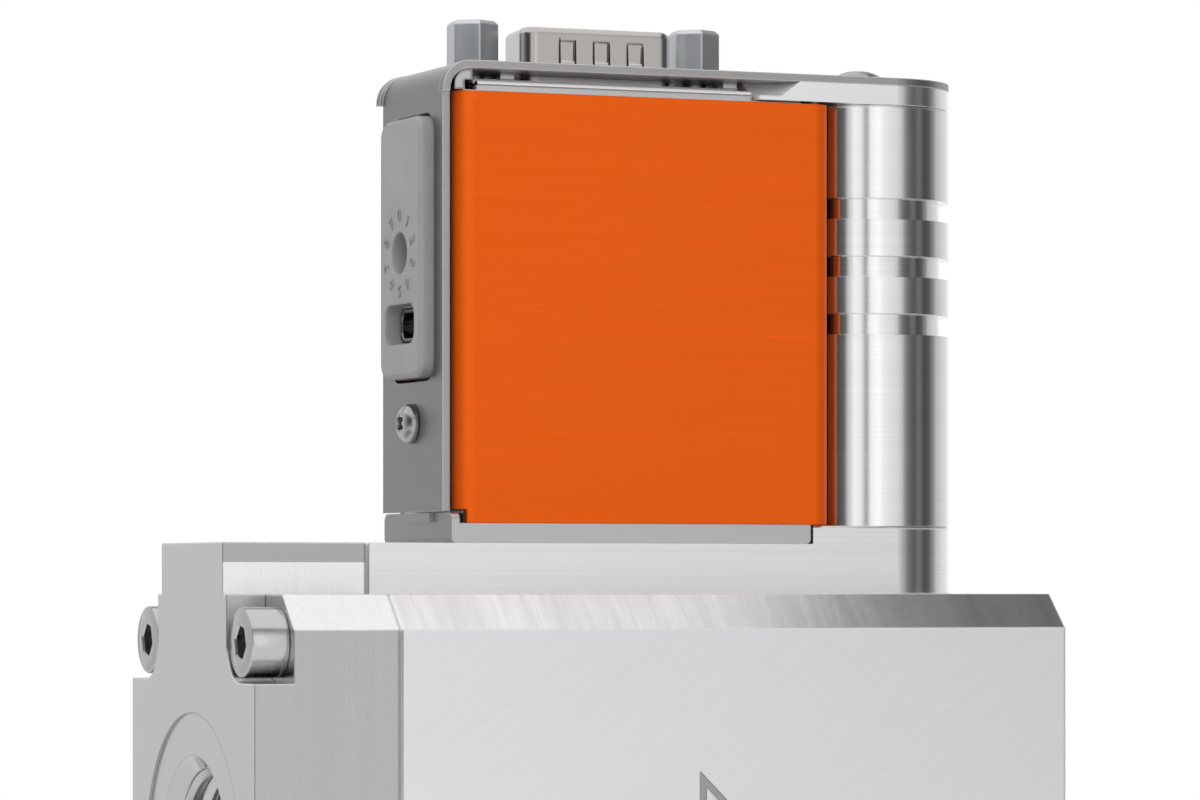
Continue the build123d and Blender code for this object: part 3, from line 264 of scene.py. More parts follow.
class EffectShelf:
    """Makes each effect's node group once and hands it out."""

    VECTORS = {"Stretch", "Turn", "Centre", "Normal"}
    _made: dict[Effect, Tree] = {}

    @classmethod
    def take(cls, effect: Effect) -> Tree:
        """Finds an effect's group, and makes it the first time.

        Args:
            effect: the effect wanted.

        Returns:
            The effect's node tree.
        """
        if effect not in cls._made:
            makers = {
                Effect.STRAIGHT_GRAIN: cls._straight_grain,
                Effect.TURNED_RINGS: cls._turned_rings,
                Effect.ROUNDED_EDGE: cls._rounded_edge,
                Effect.MOULDED_SKIN: cls._moulded_skin,
                Effect.HANDLING: cls._handling,
                Effect.HEIGHT_ZONE: cls._height_zone,
                Effect.FACING: cls._facing,
            }
            name, inputs, outputs = effect.value
            tree = bpy.data.node_groups.new(name, "ShaderNodeTree")
            for way, labels in (("INPUT", inputs), ("OUTPUT", outputs)):
                for label in labels:
                    kind = "NodeSocketVector" if label in cls.VECTORS else "NodeSocketFloat"
                    tree.interface.new_socket(name=label, in_out=way, socket_type=kind)
            bench = ShaderBench(tree)
            results = makers[effect](bench, bench.node("NodeGroupInput").outputs)
            bench.node("NodeGroupOutput", dict(zip(outputs, results)))
            cls._made[effect] = tree
        return cls._made[effect]

    @staticmethod
    def _straight_grain(bench: ShaderBench, given: Outputs) -> Sequence[Socket]:
        """Fine parallel streaks, with broad uneven bands under them."""
        turned = bench.rotate(bench.spot(), given["Turn"])
        drawn = bench.vector_maths("MULTIPLY", turned, given["Stretch"])
        fine = bench.noise(drawn, 1.0, Detail=5.0, Roughness=0.65)
        broad = bench.noise(bench.scale(drawn, 0.16), 1.0)
        return bench.remap(fine, 0.25, 0.75), bench.remap(broad, 0.3, 0.7)

    @staticmethod
    def _turned_rings(bench: ShaderBench, given: Outputs) -> Sequence[Socket]:
        """Tool rings round a spin axis, on the rim and on the end faces alike."""
        moved = bench.vector_maths("SUBTRACT", bench.spot(), given["Centre"])
        across, deep, along = bench.split(bench.rotate(moved, given["Turn"]))
        square = bench.maths("ADD", bench.times(across, across), bench.times(deep, deep))
        pair = bench.node("ShaderNodeCombineXYZ", {0: bench.maths("SQRT", square), 1: along}).outputs[0]
        fine = bench.noise(pair, given["Fineness"], Detail=4.0)
        broad = bench.noise(pair, bench.times(given["Fineness"], 0.12))
        return bench.remap(fine, 0.3, 0.7), bench.remap(broad, 0.3, 0.7)

    @staticmethod
    def _rounded_edge(bench: ShaderBench, given: Outputs) -> Sequence[Socket]:
        """A mask of the soft breaks on edges for painted highlight and shade, one of those that look up, and
        the soft normal.
        """
        soft = bench.node("ShaderNodeBevel", {"Radius": given["Radius"]}, samples=4).outputs[0]
        plain = bench.node("ShaderNodeNewGeometry").outputs["Normal"]
        bend = bench.maths("SUBTRACT", 1.0, bench.vector_maths("DOT_PRODUCT", soft, plain))
        # This mask carries the painted highlight and shade on the edges of every finish.
        edge_light_mask = bench.maths("MULTIPLY", bend, given["Gain"], clamp=True)
        upward = bench.remap(bench.split(soft)[2], 0.1, 0.35)
        return edge_light_mask, bench.times(edge_light_mask, upward), soft

    @staticmethod
    def _moulded_skin(bench: ShaderBench, given: Outputs) -> Sequence[Socket]:
        """The fine spark-eroded skin of a moulding, and a slow change of tone."""
        grain = bench.noise(bench.spot(), given["Fineness"], Detail=3.0)
        tone = bench.noise(bench.spot(), bench.times(given["Fineness"], 0.03))
        return grain, bench.remap(tone, 0.3, 0.7)

    @staticmethod
    def _handling(bench: ShaderBench, given: Outputs) -> Sequence[Socket]:
        """Faint wipe marks and fine dust left by handling."""
        wiped = bench.vector_maths("MULTIPLY", bench.spot(), (1.0, 1.0, 2.4))
        cloud = bench.noise(wiped, given["Fineness"], Detail=4.0, Distortion=0.6)
        return (bench.remap(cloud, 0.42, 0.72),)

    @staticmethod
    def _height_zone(bench: ShaderBench, given: Outputs) -> Sequence[Socket]:
        """A mask that is 1 above a height and 0 below it."""
        return (bench.maths("GREATER_THAN", bench.split(bench.spot())[2], given["Height"]),)

    @staticmethod
    def _facing(bench: ShaderBench, _: Outputs) -> Sequence[Socket]:
        """Masks of the faces along X, along Y, slanted, looking down and looking to -X."""
        x, y, z = bench.split(bench.node("ShaderNodeNewGeometry").outputs["True Normal"])
        along, across, up = (bench.maths("ABSOLUTE", part) for part in (x, y, z))
        leaning, level = bench.remap(up, 0.15, 0.3), bench.remap(up, 0.9, 0.97, 1.0, 0.0)
        return (
            bench.remap(along, 0.6, 0.95),
            bench.remap(across, 0.9, 0.98),
            bench.times(leaning, level),
            bench.remap(z, -0.9, -0.6, 1.0, 0.0),
            bench.remap(x, -0.9, -0.6, 1.0, 0.0),
        )


# ---------------------------------------------------------------------- finishes
@dataclass(frozen=True)
class Finish:
    """What every surface finish shares."""

    name: str
    colour: Colour
    roughness: float = 0.4
    edge_radius: float = 0.1
    edge_gain: float = 1.0

    def material(self) -> bpy.types.Material:
        """Finds this finish's material, and makes it the first time.

        Returns:
            The material.
        """
        found = bpy.data.materials.get(self.name)
        if found is not None:
            return found
        made = bpy.data.materials.new(self.name)
        made.use_nodes = True
        made.diffuse_color = shade(self.colour)
        self.lay(ShaderBench(made.node_tree), made.node_tree.nodes["Principled BSDF"])
        return made

    def lay(self, bench: ShaderBench, shader: Node) -> None:
        """Builds the surface on the material's shader.

        Args:
            bench: the bench in the material's tree.
            shader: the Principled BSDF to feed.
        """
        raise NotImplementedError

    def dress(self, piece: Piece) -> None:
        """Puts the finish on every material slot of a piece.

        Args:
            piece: a CAD node's object or a piece made here.
        """
        slots = piece.data.materials
        if len(slots) == 0:
            slots.append(self.material())
        for index in range(len(slots)):
            slots[index] = self.material()

    def uneven(self, bench: ShaderBench, grain: Fed, swing: float) -> Socket:
        """Lets the roughness swing with the grain, by a share either way."""
        return bench.fade(grain, self.roughness * (1.0 - swing), self.roughness * (1.0 + swing))

    def edges(self, bench: ShaderBench) -> Outputs:
        """Places this finish's rounded edges."""
        return bench.place(Effect.ROUNDED_EDGE, Radius=self.edge_radius * MM, Gain=self.edge_gain)

    @staticmethod
    def wiped(bench: ShaderBench, fineness: float, share: float) -> Socket:
        """Gives what wipe marks of a fineness change in the roughness."""
        return bench.times(bench.place(Effect.HANDLING, Fineness=fineness)["Smudge"], share)

    @staticmethod
    def raise_skin(
        bench: ShaderBench, shader: Node, height: Fed, depth: float, edge: Outputs
    ) -> None:
        """Feeds a fine relief over the rounded edges to the shader.

        Args:
            bench: the bench in the material's tree.
            shader: the shader to feed.
            height: the height to raise, from 0 to 1.
            depth: how far 1 stands up, in metres.
            edge: the rounded edges under the relief.
        """
        feeds = {"Strength": 1.0, "Distance": depth, "Height": height, "Normal": edge["Normal"]}
        bench.fill(shader, Normal=bench.node("ShaderNodeBump", feeds).outputs["Normal"])


@dataclass(frozen=True)
class EdgedMetal(Finish):
    """Metal whose upper edge breaks get painted white highlight lines."""

    # The white of the painted highlight lines.
    WHITE = grey(0.9)
    DULLING = 0.85

    def line(self, bench: ShaderBench, shader: Node, brow: Fed, base: Fed) -> Socket:
        """Paints the white highlight lines over the base colour.

        Args:
            bench: the bench in the material's tree.
            shader: the shader whose base colour is fed.
            brow: the mask of the lines.
            base: the colour under them.

        Returns:
            How metallic the surface is, which is less on the lines.
        """
        bench.fill(shader, Base_Color=bench.mix(brow, base, self.WHITE))
        return bench.maths("SUBTRACT", 1.0, bench.times(brow, self.DULLING))


@dataclass(frozen=True)
class BrushedMetal(EdgedMetal):
    """Metal with a straight grain, broken edges with painted highlight and shade, and painted light and shade
    on its faces by the way they look.
    """

    stretch: Triple = (40.0, 2500.0, 2500.0)
    depth: float = 1.2e-6
    contrast: float = 0.08
    band_contrast: float = 0.04
    band_share: float = 0.45
    edge_radius: float = 0.15
    edge_gain: float = 2.2
    # Colour share on the rounded edges: above 1 a painted highlight, below 1 painted shade.
    edge_light: float = 1.25
    metallic: float = 1.0
    specular: float = 0.5
    # Colour share of the painted shade on the end faces.
    end_share: float = 1.0
    end_grain: float = 1.0
    # Colour share of the painted highlight on the high slopes.
    slope_share: float = 1.0
    slope_from: float = 45.0
    slope_roughness: Optional[float] = None
    slope_metallic: float = 1.0
    under_metallic: float = 1.0
    start_metallic: float = 1.0
    # Strength of the painted white highlight lines on the edges that look up.
    brow: float = 0.0
    # Strength of the painted white highlight lines on every edge.
    rim: float = 0.0
    swing: float = 0.14
    wipe: float = 0.05
    wipe_fineness: float = 55.0
    # Bands of painted light and shade on the faces along Y, each a height and a colour.
    side_bands: tuple[tuple[float, Colour], ...] = ()

    def tone(self, bench: ShaderBench, facing: Outputs, base: Fed) -> Fed:
        """Paints shade on the end faces and a highlight on the high slopes, and gives the faces along Y bands
        of painted light and shade.

        Args:
            bench: the bench in the material's tree.
            facing: the facing masks.
            base: the colour so far.

        Returns:
            The toned colour.
        """
        # Painted shade on the end faces.
        toned = bench.mix(facing["Ends"], base, bench.scale(base, self.end_share))
        # Painted highlight on the high slopes.
        if self.slope_share != 1.0:
            high = bench.above(self.slope_from, facing["Slopes"])
            toned = bench.mix(high, toned, bench.scale(base, self.slope_share))
        # Bands of painted light and shade on the faces along Y.
        for height, colour in self.side_bands:
            toned = bench.mix(bench.above(height, facing["Sides"]), toned, shade(colour))
        return toned

    def lay(self, bench: ShaderBench, shader: Node) -> None:
        """Lays grain, bands, painted edge highlight and shade, painted light and shade by facing, and
        handling on the metal.
        """
        grain = bench.place(Effect.STRAIGHT_GRAIN, Stretch=self.stretch)
        edge = self.edges(bench)
        facing = bench.place(Effect.FACING)
        calm = bench.fade(facing["Ends"], 1.0, self.end_grain)
        streak, bands = (bench.times(grain[label], calm) for label in ("Streaks", "Bands"))
        drawn = bench.tones(streak, self.colour, 1.0 - self.contrast, 1.0 + self.contrast)
        dark = shade(self.colour, 1.0 - 2.0 * self.band_contrast)
        banded = bench.mix(bench.times(bands, self.band_share), drawn, dark)
        toned = self.tone(bench, facing, banded)
        # Paints the rounded edges by the edge share: lighter as a highlight above 1, darker as shade below 1.
        edged = bench.mix(edge["Edge"], toned, shade(self.colour, self.edge_light))
        # Masks of the painted white highlight lines.
        upper, every = bench.times(edge["Brow"], self.brow), bench.times(edge["Edge"], self.rim)
        bare = self.line(bench, shader, bench.maths("ADD", upper, every, clamp=True), edged)
        for label, share in (
            ("Slopes", self.slope_metallic), ("Under", self.under_metallic), ("Starts", self.start_metallic)
        ):
            bare = bench.times(bare, bench.fade(facing[label], 1.0, share))
        rough = self.uneven(bench, streak, self.swing)
        if self.slope_roughness is not None:
            rough = bench.fade(facing["Slopes"], rough, self.slope_roughness)
        wiped = self.wiped(bench, self.wipe_fineness, self.wipe)
        bench.fill(
            shader,
            Roughness=bench.maths("ADD", rough, wiped),
            Metallic=bench.times(bare, self.metallic),
            Specular_IOR_Level=self.specular,
        )
        self.raise_skin(bench, shader, streak, self.depth, edge)


@dataclass(frozen=True)
class MilledBlock(EdgedMetal):
    """Milled aluminium: slanted brushing below, level machining lines on the rib above."""

    shoulder: float = 54.02
    slant: float = 35.0
    slanted_stretch: Triple = (70.0, 2600.0, 2600.0)
    level_stretch: Triple = (6.0, 900.0, 5200.0)
    filed_stretch: Triple = (1500.0, 90.0, 90.0)
    lower_tones: tuple[float, float] = (0.975, 1.03)
    upper_tones: tuple[float, float] = (0.98, 1.12)
    filed_tones: tuple[float, float] = (0.86, 1.08)
    blotch_tone: float = 0.72
    blotch_share: float = 0.5
    slope_gloss: float = 0.6
    round_gloss: float = 0.3
    round_from: float = 29.9
    depth: float = 1.5e-6
    edge_radius: float = 0.25
    edge_gain: float = 2.0
    # Below 1: the rounded edges are painted darker as shade.
    edge_light: float = 0.8
    # Strength of the painted white highlight lines on the upper edges.
    brow: float = 6.0
    swing: float = 0.1
    wipe: float = 0.03
    wipe_fineness: float = 30.0

    def lay(self, bench: ShaderBench, shader: Node) -> None:
        """Lays the two grains, split at the shoulder, with file marks on the chamfers, painted shade on the
        rounded edges and painted white highlight lines on the upper edges.
        """
        slant = (0.0, math.radians(self.slant), 0.0)
        slanted = bench.place(Effect.STRAIGHT_GRAIN, Stretch=self.slanted_stretch, Turn=slant)["Streaks"]
        level = bench.place(Effect.STRAIGHT_GRAIN, Stretch=self.level_stretch)["Streaks"]
        filed = bench.place(Effect.STRAIGHT_GRAIN, Stretch=self.filed_stretch)
        slopes = bench.place(Effect.FACING)["Slopes"]
        above = bench.place(Effect.HEIGHT_ZONE, Height=self.shoulder * MM)["Above"]
        edge = self.edges(bench)
        lower = bench.tones(slanted, self.colour, *self.lower_tones)
        upper = bench.tones(level, self.colour, *self.upper_tones)
        marks = bench.tones(filed["Streaks"], self.colour, *self.filed_tones)
        blotches = bench.times(filed["Bands"], self.blotch_share)
        blotched = bench.mix(blotches, marks, shade(self.colour, self.blotch_tone))
        worked = bench.mix(slopes, bench.mix(above, lower, upper), blotched)
        # Painted shade on the rounded edges, then the painted white highlight lines.
        edged = bench.mix(edge["Edge"], worked, shade(self.colour, self.edge_light))
        bare = self.line(bench, shader, bench.maths("MULTIPLY", edge["Brow"], self.brow, clamp=True), edged)
        wiped = self.wiped(bench, self.wipe_fineness, self.wipe)
        rough = bench.maths("ADD", self.uneven(bench, slanted, self.swing), wiped)
        past_axis = bench.maths("GREATER_THAN", bench.split(bench.spot())[0], self.round_from * MM)
        turned = bench.fade(bench.times(above, past_axis), 1.0, self.round_gloss)
        gloss = bench.fade(slopes, turned, self.slope_gloss)
        bench.fill(shader, Roughness=bench.times(rough, gloss), Metallic=bare)
        height = bench.node("ShaderNodeMix", {0: above, 2: slanted, 3: level}, data_type="FLOAT")
        self.raise_skin(bench, shader, height.outputs[0], self.depth, edge)


@dataclass(frozen=True)
class TurnedMetal(Finish):
    """Metal turned on a lathe, with tool rings round its axis."""

    centre: Triple = (0.0, 0.0, 0.0)
    turn: Triple = (0.0, 0.0, 0.0)
    fineness: float = 5200.0
    depth: float = 0.9e-6
    contrast: float = 0.06
    band_tone: float = 0.88
    band_share: float = 0.3
    edge_radius: float = 0.12
    edge_gain: float = 2.0
    # Colour share of the painted highlight on the edge breaks.
    edge_light: float = 1.2
    swing: float = 0.15
    wipe: float = 0.04
    wipe_fineness: float = 70.0

    def lay(self, bench: ShaderBench, shader: Node) -> None:
        """Lays the rings, the broad bands and a painted highlight on the edge breaks."""
        centre = tuple(part * MM for part in self.centre)
        turning = bench.place(Effect.TURNED_RINGS, Centre=centre, Turn=self.turn, Fineness=self.fineness)
        edge = self.edges(bench)
        rings = turning["Rings"]
        cut = bench.tones(rings, self.colour, 1.0 - self.contrast, 1.0 + self.contrast)
        bands = bench.times(turning["Bands"], self.band_share)
        toned = bench.mix(bands, cut, shade(self.colour, self.band_tone))
        wiped = self.wiped(bench, self.wipe_fineness, self.wipe)
        bench.fill(
            shader,
            # Painted highlight on the edge breaks.
            Base_Color=bench.mix(edge["Edge"], toned, shade(self.colour, self.edge_light)),
            Roughness=bench.maths("ADD", self.uneven(bench, rings, self.swing), wiped),
            Metallic=1.0,
        )
        self.raise_skin(bench, shader, rings, self.depth, edge)


@dataclass(frozen=True)
class MouldedPlastic(Finish):
    """Moulded plastic or rubber with a fine skin."""

    fineness: float = 6500.0
    depth: float = 6e-6
    tone_swing: float = 0.05
    edge_radius: float = 0.25
    edge_gain: float = 1.6
    # Colour share of the painted highlight on the rounded edges.
    edge_light: float = 1.12
    wipe: float = 0.08
    wipe_fineness: float = 80.0

    def lay(self, bench: ShaderBench, shader: Node) -> None:
        """Lays the skin, the slow tone and a painted highlight on the edges."""
        skin = bench.place(Effect.MOULDED_SKIN, Fineness=self.fineness)
        edge = self.edges(bench)
        toned = bench.tones(skin["Tone"], self.colour, 1.0 - self.tone_swing, 1.0 + self.tone_swing)
        wiped = self.wiped(bench, self.wipe_fineness, self.wipe)
        bench.fill(
            shader,
            # Painted highlight on the rounded edges.
            Base_Color=bench.mix(edge["Edge"], toned, shade(self.colour, self.edge_light)),
            Roughness=bench.maths("SUBTRACT", self.roughness, wiped),
        )
        self.raise_skin(bench, shader, skin["Height"], self.depth, edge)


@dataclass(frozen=True)
class WovenMesh(Finish):
    """Fine square-woven wire mesh, seen from either end."""

    pitch: float = 0.42
    depth: float = 4e-5
    opening_tone: float = 0.08
    opening_roughness: float = 0.8
    stain_tone: float = 0.6
    stain_share: float = 0.25
    stain_fineness: float = 140.0

    def lay(self, bench: ShaderBench, shader: Node) -> None:
        """Lays two crossed sets of wires with painted shade in the openings between."""
        _, across, up = bench.split(bench.spot())
        turns = 2.0 * math.pi / (self.pitch * MM)
        waves = (bench.maths("SINE", bench.times(part, turns)) for part in (across, up))
        wires = bench.maths("MAXIMUM", *(bench.maths("ABSOLUTE", wave) for wave in waves))
        height = bench.remap(wires, 0.35, 1.0)
        # The openings are painted dark as shade.
        clean = bench.tones(height, self.colour, self.opening_tone, 1.0)
        stained = self.wiped(bench, self.stain_fineness, self.stain_share)
        bench.fill(
            shader,
            Base_Color=bench.mix(stained, clean, shade(self.colour, self.stain_tone)),
            Roughness=bench.fade(height, self.opening_roughness, self.roughness),
            Metallic=1.0,
        )
        edge = self.edges(bench)
        self.raise_skin(bench, shader, height, self.depth, edge)


@dataclass(frozen=True)
class SolderMask(Finish):
    """A circuit board: green mask over copper tracks, with the fibre grain under it."""

    track_pitch: float = 1.27
    track_light: Triple = (0.06, 0.14, 0.05)
    fineness: float = 2600.0
    tones: tuple[float, float] = (0.85, 1.1)
    glosses: tuple[float, float] = (0.22, 0.34)
    coat: float = 0.4
    depth: float = 1.5e-5
    edge_radius: float = 0.08

    def lay(self, bench: ShaderBench, shader: Node) -> None:
        """Lays blocky tracks under a glossy green coat."""
        feeds = {"Vector": bench.spot(), "Scale": 1.0 / (self.track_pitch * 2.0 * MM)}
        cells = bench.node("ShaderNodeTexVoronoi", distance="MANHATTAN", feature="DISTANCE_TO_EDGE")
        bench.fill(cells, **feeds)
        tracks = bench.remap(cells.outputs["Distance"], 0.04, 0.09, 1.0, 0.0)
        skin = bench.place(Effect.MOULDED_SKIN, Fineness=self.fineness)
        toned = bench.tones(skin["Tone"], self.colour, *self.tones)
        light = shade(tuple(part + more for part, more in zip(self.colour, self.track_light)))
        bench.fill(
            shader,
            Base_Color=bench.mix(tracks, toned, light),
            Roughness=bench.remap(skin["Height"], 0.2, 0.8, *self.glosses),
            Coat_Weight=self.coat,
        )
        edge = self.edges(bench)
        self.raise_skin(bench, shader, tracks, self.depth, edge)


VALVE_CENTRE: Triple = (29.9, 0.0, 60.0)
PORT_CENTRE: Triple = (0.0, 0.0, 27.0)
PORT_TURN: Triple = (0.0, math.pi / 2.0, 0.0)
BLOCK_TOP = 54.02
ADAPTER_RIM = 57.2
CHASSIS_TOP = 105.75
STRIP_TOP = 108.15


class Finishes:
    """Every finish of the controller."""

    # Its rounded edges are painted darker as shade, and its upper edges get painted white highlight lines.
    BLOCK = MilledBlock("milled_aluminium", (0.895, 0.9, 0.915), 0.34)
    # Painted light and shade: very dark edges, white highlight lines on the upper edges, slightly darker
    # ends, a highlight on the chamfers, and on the front a painted white highlight band above the block's top
    # and a painted shade band above the rim.
    ADAPTER = BrushedMetal(
        "fly_cut_aluminium", (0.57, 0.565, 0.565), 0.28, stretch=(2400.0, 2400.0, 24.0), contrast=0.045,
        depth=0.1e-6, edge_radius=0.3, edge_light=0.15, end_share=0.97, end_grain=0.0, brow=6.0, wipe=0.0,
        slope_roughness=0.14, slope_share=1.6,
        side_bands=((BLOCK_TOP, (1.0, 1.0, 1.0)), (ADAPTER_RIM, (0.5, 0.5, 0.51))),
    )
    PORT_THREAD = TurnedMetal(
        "cut_thread_aluminium", (0.6, 0.6, 0.6), 0.22, centre=PORT_CENTRE, turn=PORT_TURN
    )
    # Painted shade on the end faces, with the default painted edge highlight.
    SCREW = BrushedMetal(
        "bright_screw_steel", (0.6, 0.59, 0.58), 0.16, stretch=(900.0, 900.0, 900.0), contrast=0.05,
        end_share=0.7,
    )
    DOME = BrushedMetal(
        "satin_dome_steel", (0.45, 0.44, 0.43), 0.24, stretch=(900.0, 900.0, 900.0), contrast=0.05
    )
    SEAL = MouldedPlastic("black_seal_rubber", (0.03, 0.03, 0.03), 0.62)
    FILTER = WovenMesh("woven_filter_steel", (0.55, 0.55, 0.54), 0.35)
    ELEMENT = TurnedMetal(
        "slotted_element_steel", (0.6, 0.6, 0.6), 0.28, centre=PORT_CENTRE, turn=PORT_TURN
    )
    VALVE_STEEL = TurnedMetal("ground_valve_steel", (0.62, 0.62, 0.62), 0.25, centre=VALVE_CENTRE)
    HOUSING = TurnedMetal(
        "polished_housing_steel", (0.86, 0.86, 0.86), 0.09, centre=VALVE_CENTRE, fineness=3600.0,
        depth=0.5e-6, contrast=0.03,
    )
    CAP = BrushedMetal(
        "polished_cap_steel", (0.95, 0.95, 0.95), 0.17, stretch=(60.0, 60.0, 2500.0), depth=0.1e-6,
        contrast=0.02, wipe=0.0, slope_roughness=0.55, slope_metallic=0.25, start_metallic=0.1,
    )
    # Painted light and shade: lighter edges, white highlight lines on the edges, and shade on the end faces.
    STRIP = BrushedMetal(
        "satin_sheet_steel", (0.46, 0.455, 0.45), 0.33, stretch=(1400.0, 60.0, 1400.0), contrast=0.05,
        edge_radius=0.22, edge_light=1.3, end_share=0.47, brow=1.5, rim=1.2, under_metallic=0.1,
    )
    # Painted shade on the end faces, with the default painted edge highlight.
    TRAY = BrushedMetal(
        "satin_tray_steel", (0.62, 0.62, 0.63), 0.34, stretch=(60.0, 1800.0, 1800.0), contrast=0.04,
        end_share=0.42,
    )
    # Painted highlight on the edges, and white highlight lines on the upper edges.
    CHASSIS = BrushedMetal(
        "satin_chassis_steel", (0.62, 0.62, 0.62), 0.22, stretch=(60.0, 1800.0, 1800.0), contrast=0.04,
        edge_radius=0.45, edge_light=1.3, brow=2.0,
    )
    # A darker, shaded copy of the chassis steel, whose rounded top is painted bright as a highlight.
    ROLLED = BrushedMetal(
        "rolled_rim_painted_light_steel", (0.36, 0.36, 0.365), 0.25, stretch=(60.0, 1800.0, 1800.0), contrast=0.03,
        slope_metallic=0.0, slope_share=2.7, depth=0.1e-6, edge_radius=0.05,
    )
    # Painted shade on the end faces and on the edges.
    COVER = BrushedMetal(
        "orange_anodised_aluminium", (0.84, 0.117, 0.0055), 0.38, stretch=(30.0, 3000.0, 3000.0),
        contrast=0.06, band_contrast=0.02, metallic=0.35, specular=0.12, edge_radius=0.3, edge_light=0.8,
        end_share=0.6,
    )
    PANEL = MouldedPlastic("grey_panel_plastic", (0.3, 0.302, 0.308), 0.46, edge_radius=0.45)
    BLACK_PLASTIC = MouldedPlastic("black_glass_filled_plastic", (0.018, 0.018, 0.019), 0.42)
    DIAL = MouldedPlastic("dark_dial_plastic", (0.12, 0.12, 0.125), 0.36)
    RESIN = MouldedPlastic("coil_moulding_resin", (0.16, 0.05, 0.02), 0.3)
    BOARD = SolderMask("green_circuit_board", (0.012, 0.15, 0.06), 0.3)
    CERAMIC = MouldedPlastic("white_sensor_ceramic", (0.74, 0.73, 0.69), 0.34)
    # Painted light and shade: white highlight lines on the upper edges, and bands of painted shade on the
    # faces along Y above the chassis top.
    NICKEL = BrushedMetal(
        "bright_nickel_plate", (0.55, 0.525, 0.505), 0.13, stretch=(500.0, 500.0, 500.0), depth=0.5e-6,
        contrast=0.03, edge_radius=0.3, brow=3.0,
        side_bands=((CHASSIS_TOP, (0.5, 0.5, 0.5)), (STRIP_TOP, (0.53, 0.505, 0.485))),
    )
    # Painted white highlight lines on every edge, and painted shade on the end faces.
    JACKSCREW = BrushedMetal(
        "blue_grey_screw_steel", (0.7, 0.73, 0.76), 0.38, stretch=(1200.0, 1200.0, 90.0), contrast=0.05,
        edge_radius=0.3, rim=0.9, end_share=0.75,
    )
    GOLD = BrushedMetal(
        "gold_plated_contact", (0.86, 0.6, 0.22), 0.2, stretch=(700.0, 700.0, 700.0), contrast=0.04
    )
    ARROW = MouldedPlastic("grey_arrow_paint", (0.3, 0.3, 0.31), 0.5, depth=2e-6)


# ------------------------------------------------------------------- mesh helpers
ALL_SMOOTH = 180.0


def ring(build: Build, points: Points) -> Ring:
    """Adds a ring of points, given in millimetres."""
    return [build.verts.new(Vector(point) * MM) for point in points]


def bridge(build: Build, rings: Sequence[Ring], capped: bool = False) -> None:
    """Joins each closed ring to the next with a band of faces.

    Args:
        build: the bmesh that holds the rings.
        rings: the rings, each with as many points as the others.
        capped: whether the first and the last ring are filled.
    """
    for before, after in zip(rings, rings[1:]):
        for step in range(len(before)):
            nearby = (step + 1) % len(before)
            build.faces.new((before[step], before[nearby], after[nearby], after[step]))
    if capped:
        build.faces.new(rings[0])
        build.faces.new(list(reversed(rings[-1])))


def broken_box(build: Build, size: Triple, centre: Triple, edge: float, top_share: float = 1.0) -> None:
    """Adds a small box with broken edges.

    Args:
        build: the bmesh to add to.
        size: its spans along X, Y and Z.
        centre: its middle.
        edge: the width of the breaks.
        top_share: how much of its span along X the top has.
    """
    corners = bmesh.ops.create_cube(build, size=1.0)["verts"]
    for corner in corners:
        narrow = top_share if corner.co.z > 0.0 else 1.0
        spot = Vector(part * span for part, span in zip(corner.co, size))
        corner.co = (Vector((spot.x * narrow, spot.y, spot.z)) + Vector(centre)) * MM
    edges = list(dict.fromkeys(side for corner in corners for side in corner.link_edges))
    bmesh.ops.bevel(build, geom=edges, offset=edge * MM, segments=1, affect="EDGES")


def hang(name: str, data: Optional[bpy.types.ID]) -> Piece:
    """Adds an object with its data to the scene."""
    made = bpy.data.objects.new(name, data)
    bpy.context.scene.collection.objects.link(made)
    return made


def place_mesh(name: str, build: Build, crease: Optional[float] = None) -> Piece:
    """Turns a finished bmesh into an object of the scene.

    Args:
        name: the piece's name.
        build: the bmesh, in metres, which is freed.
        crease: the angle in degrees above which a smooth piece's edges stay sharp, or None for flat faces.

    Returns:
        The new object.
    """
    mesh = bpy.data.meshes.new(name)
    bmesh.ops.recalc_face_normals(build, faces=build.faces)
    for face in build.faces:
        face.smooth = crease is not None
    build.to_mesh(mesh)
    build.free()
    if crease is not None and crease < ALL_SMOOTH:
        mesh.set_sharp_from_angle(angle=math.radians(crease))
    return hang(name, mesh)


def seat(piece: Piece, body: str, finish: Finish) -> Piece:
    """Dresses a new piece and fixes it to the body that carries it.

    Args:
        piece: the piece.
        body: the CAD body it rides on.
        finish: the finish it gets.

    Returns:
        The same piece.
    """
    finish.dress(piece)
    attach(piece, body)
    LOG.info("piece %s: %d faces", piece.name, len(piece.data.polygons))
    return piece


class Recess(Enum):
    """The driver recesses of the turned screws."""

    HEXAGON = "hexagon"
    SIX_LOBES = "six lobes"


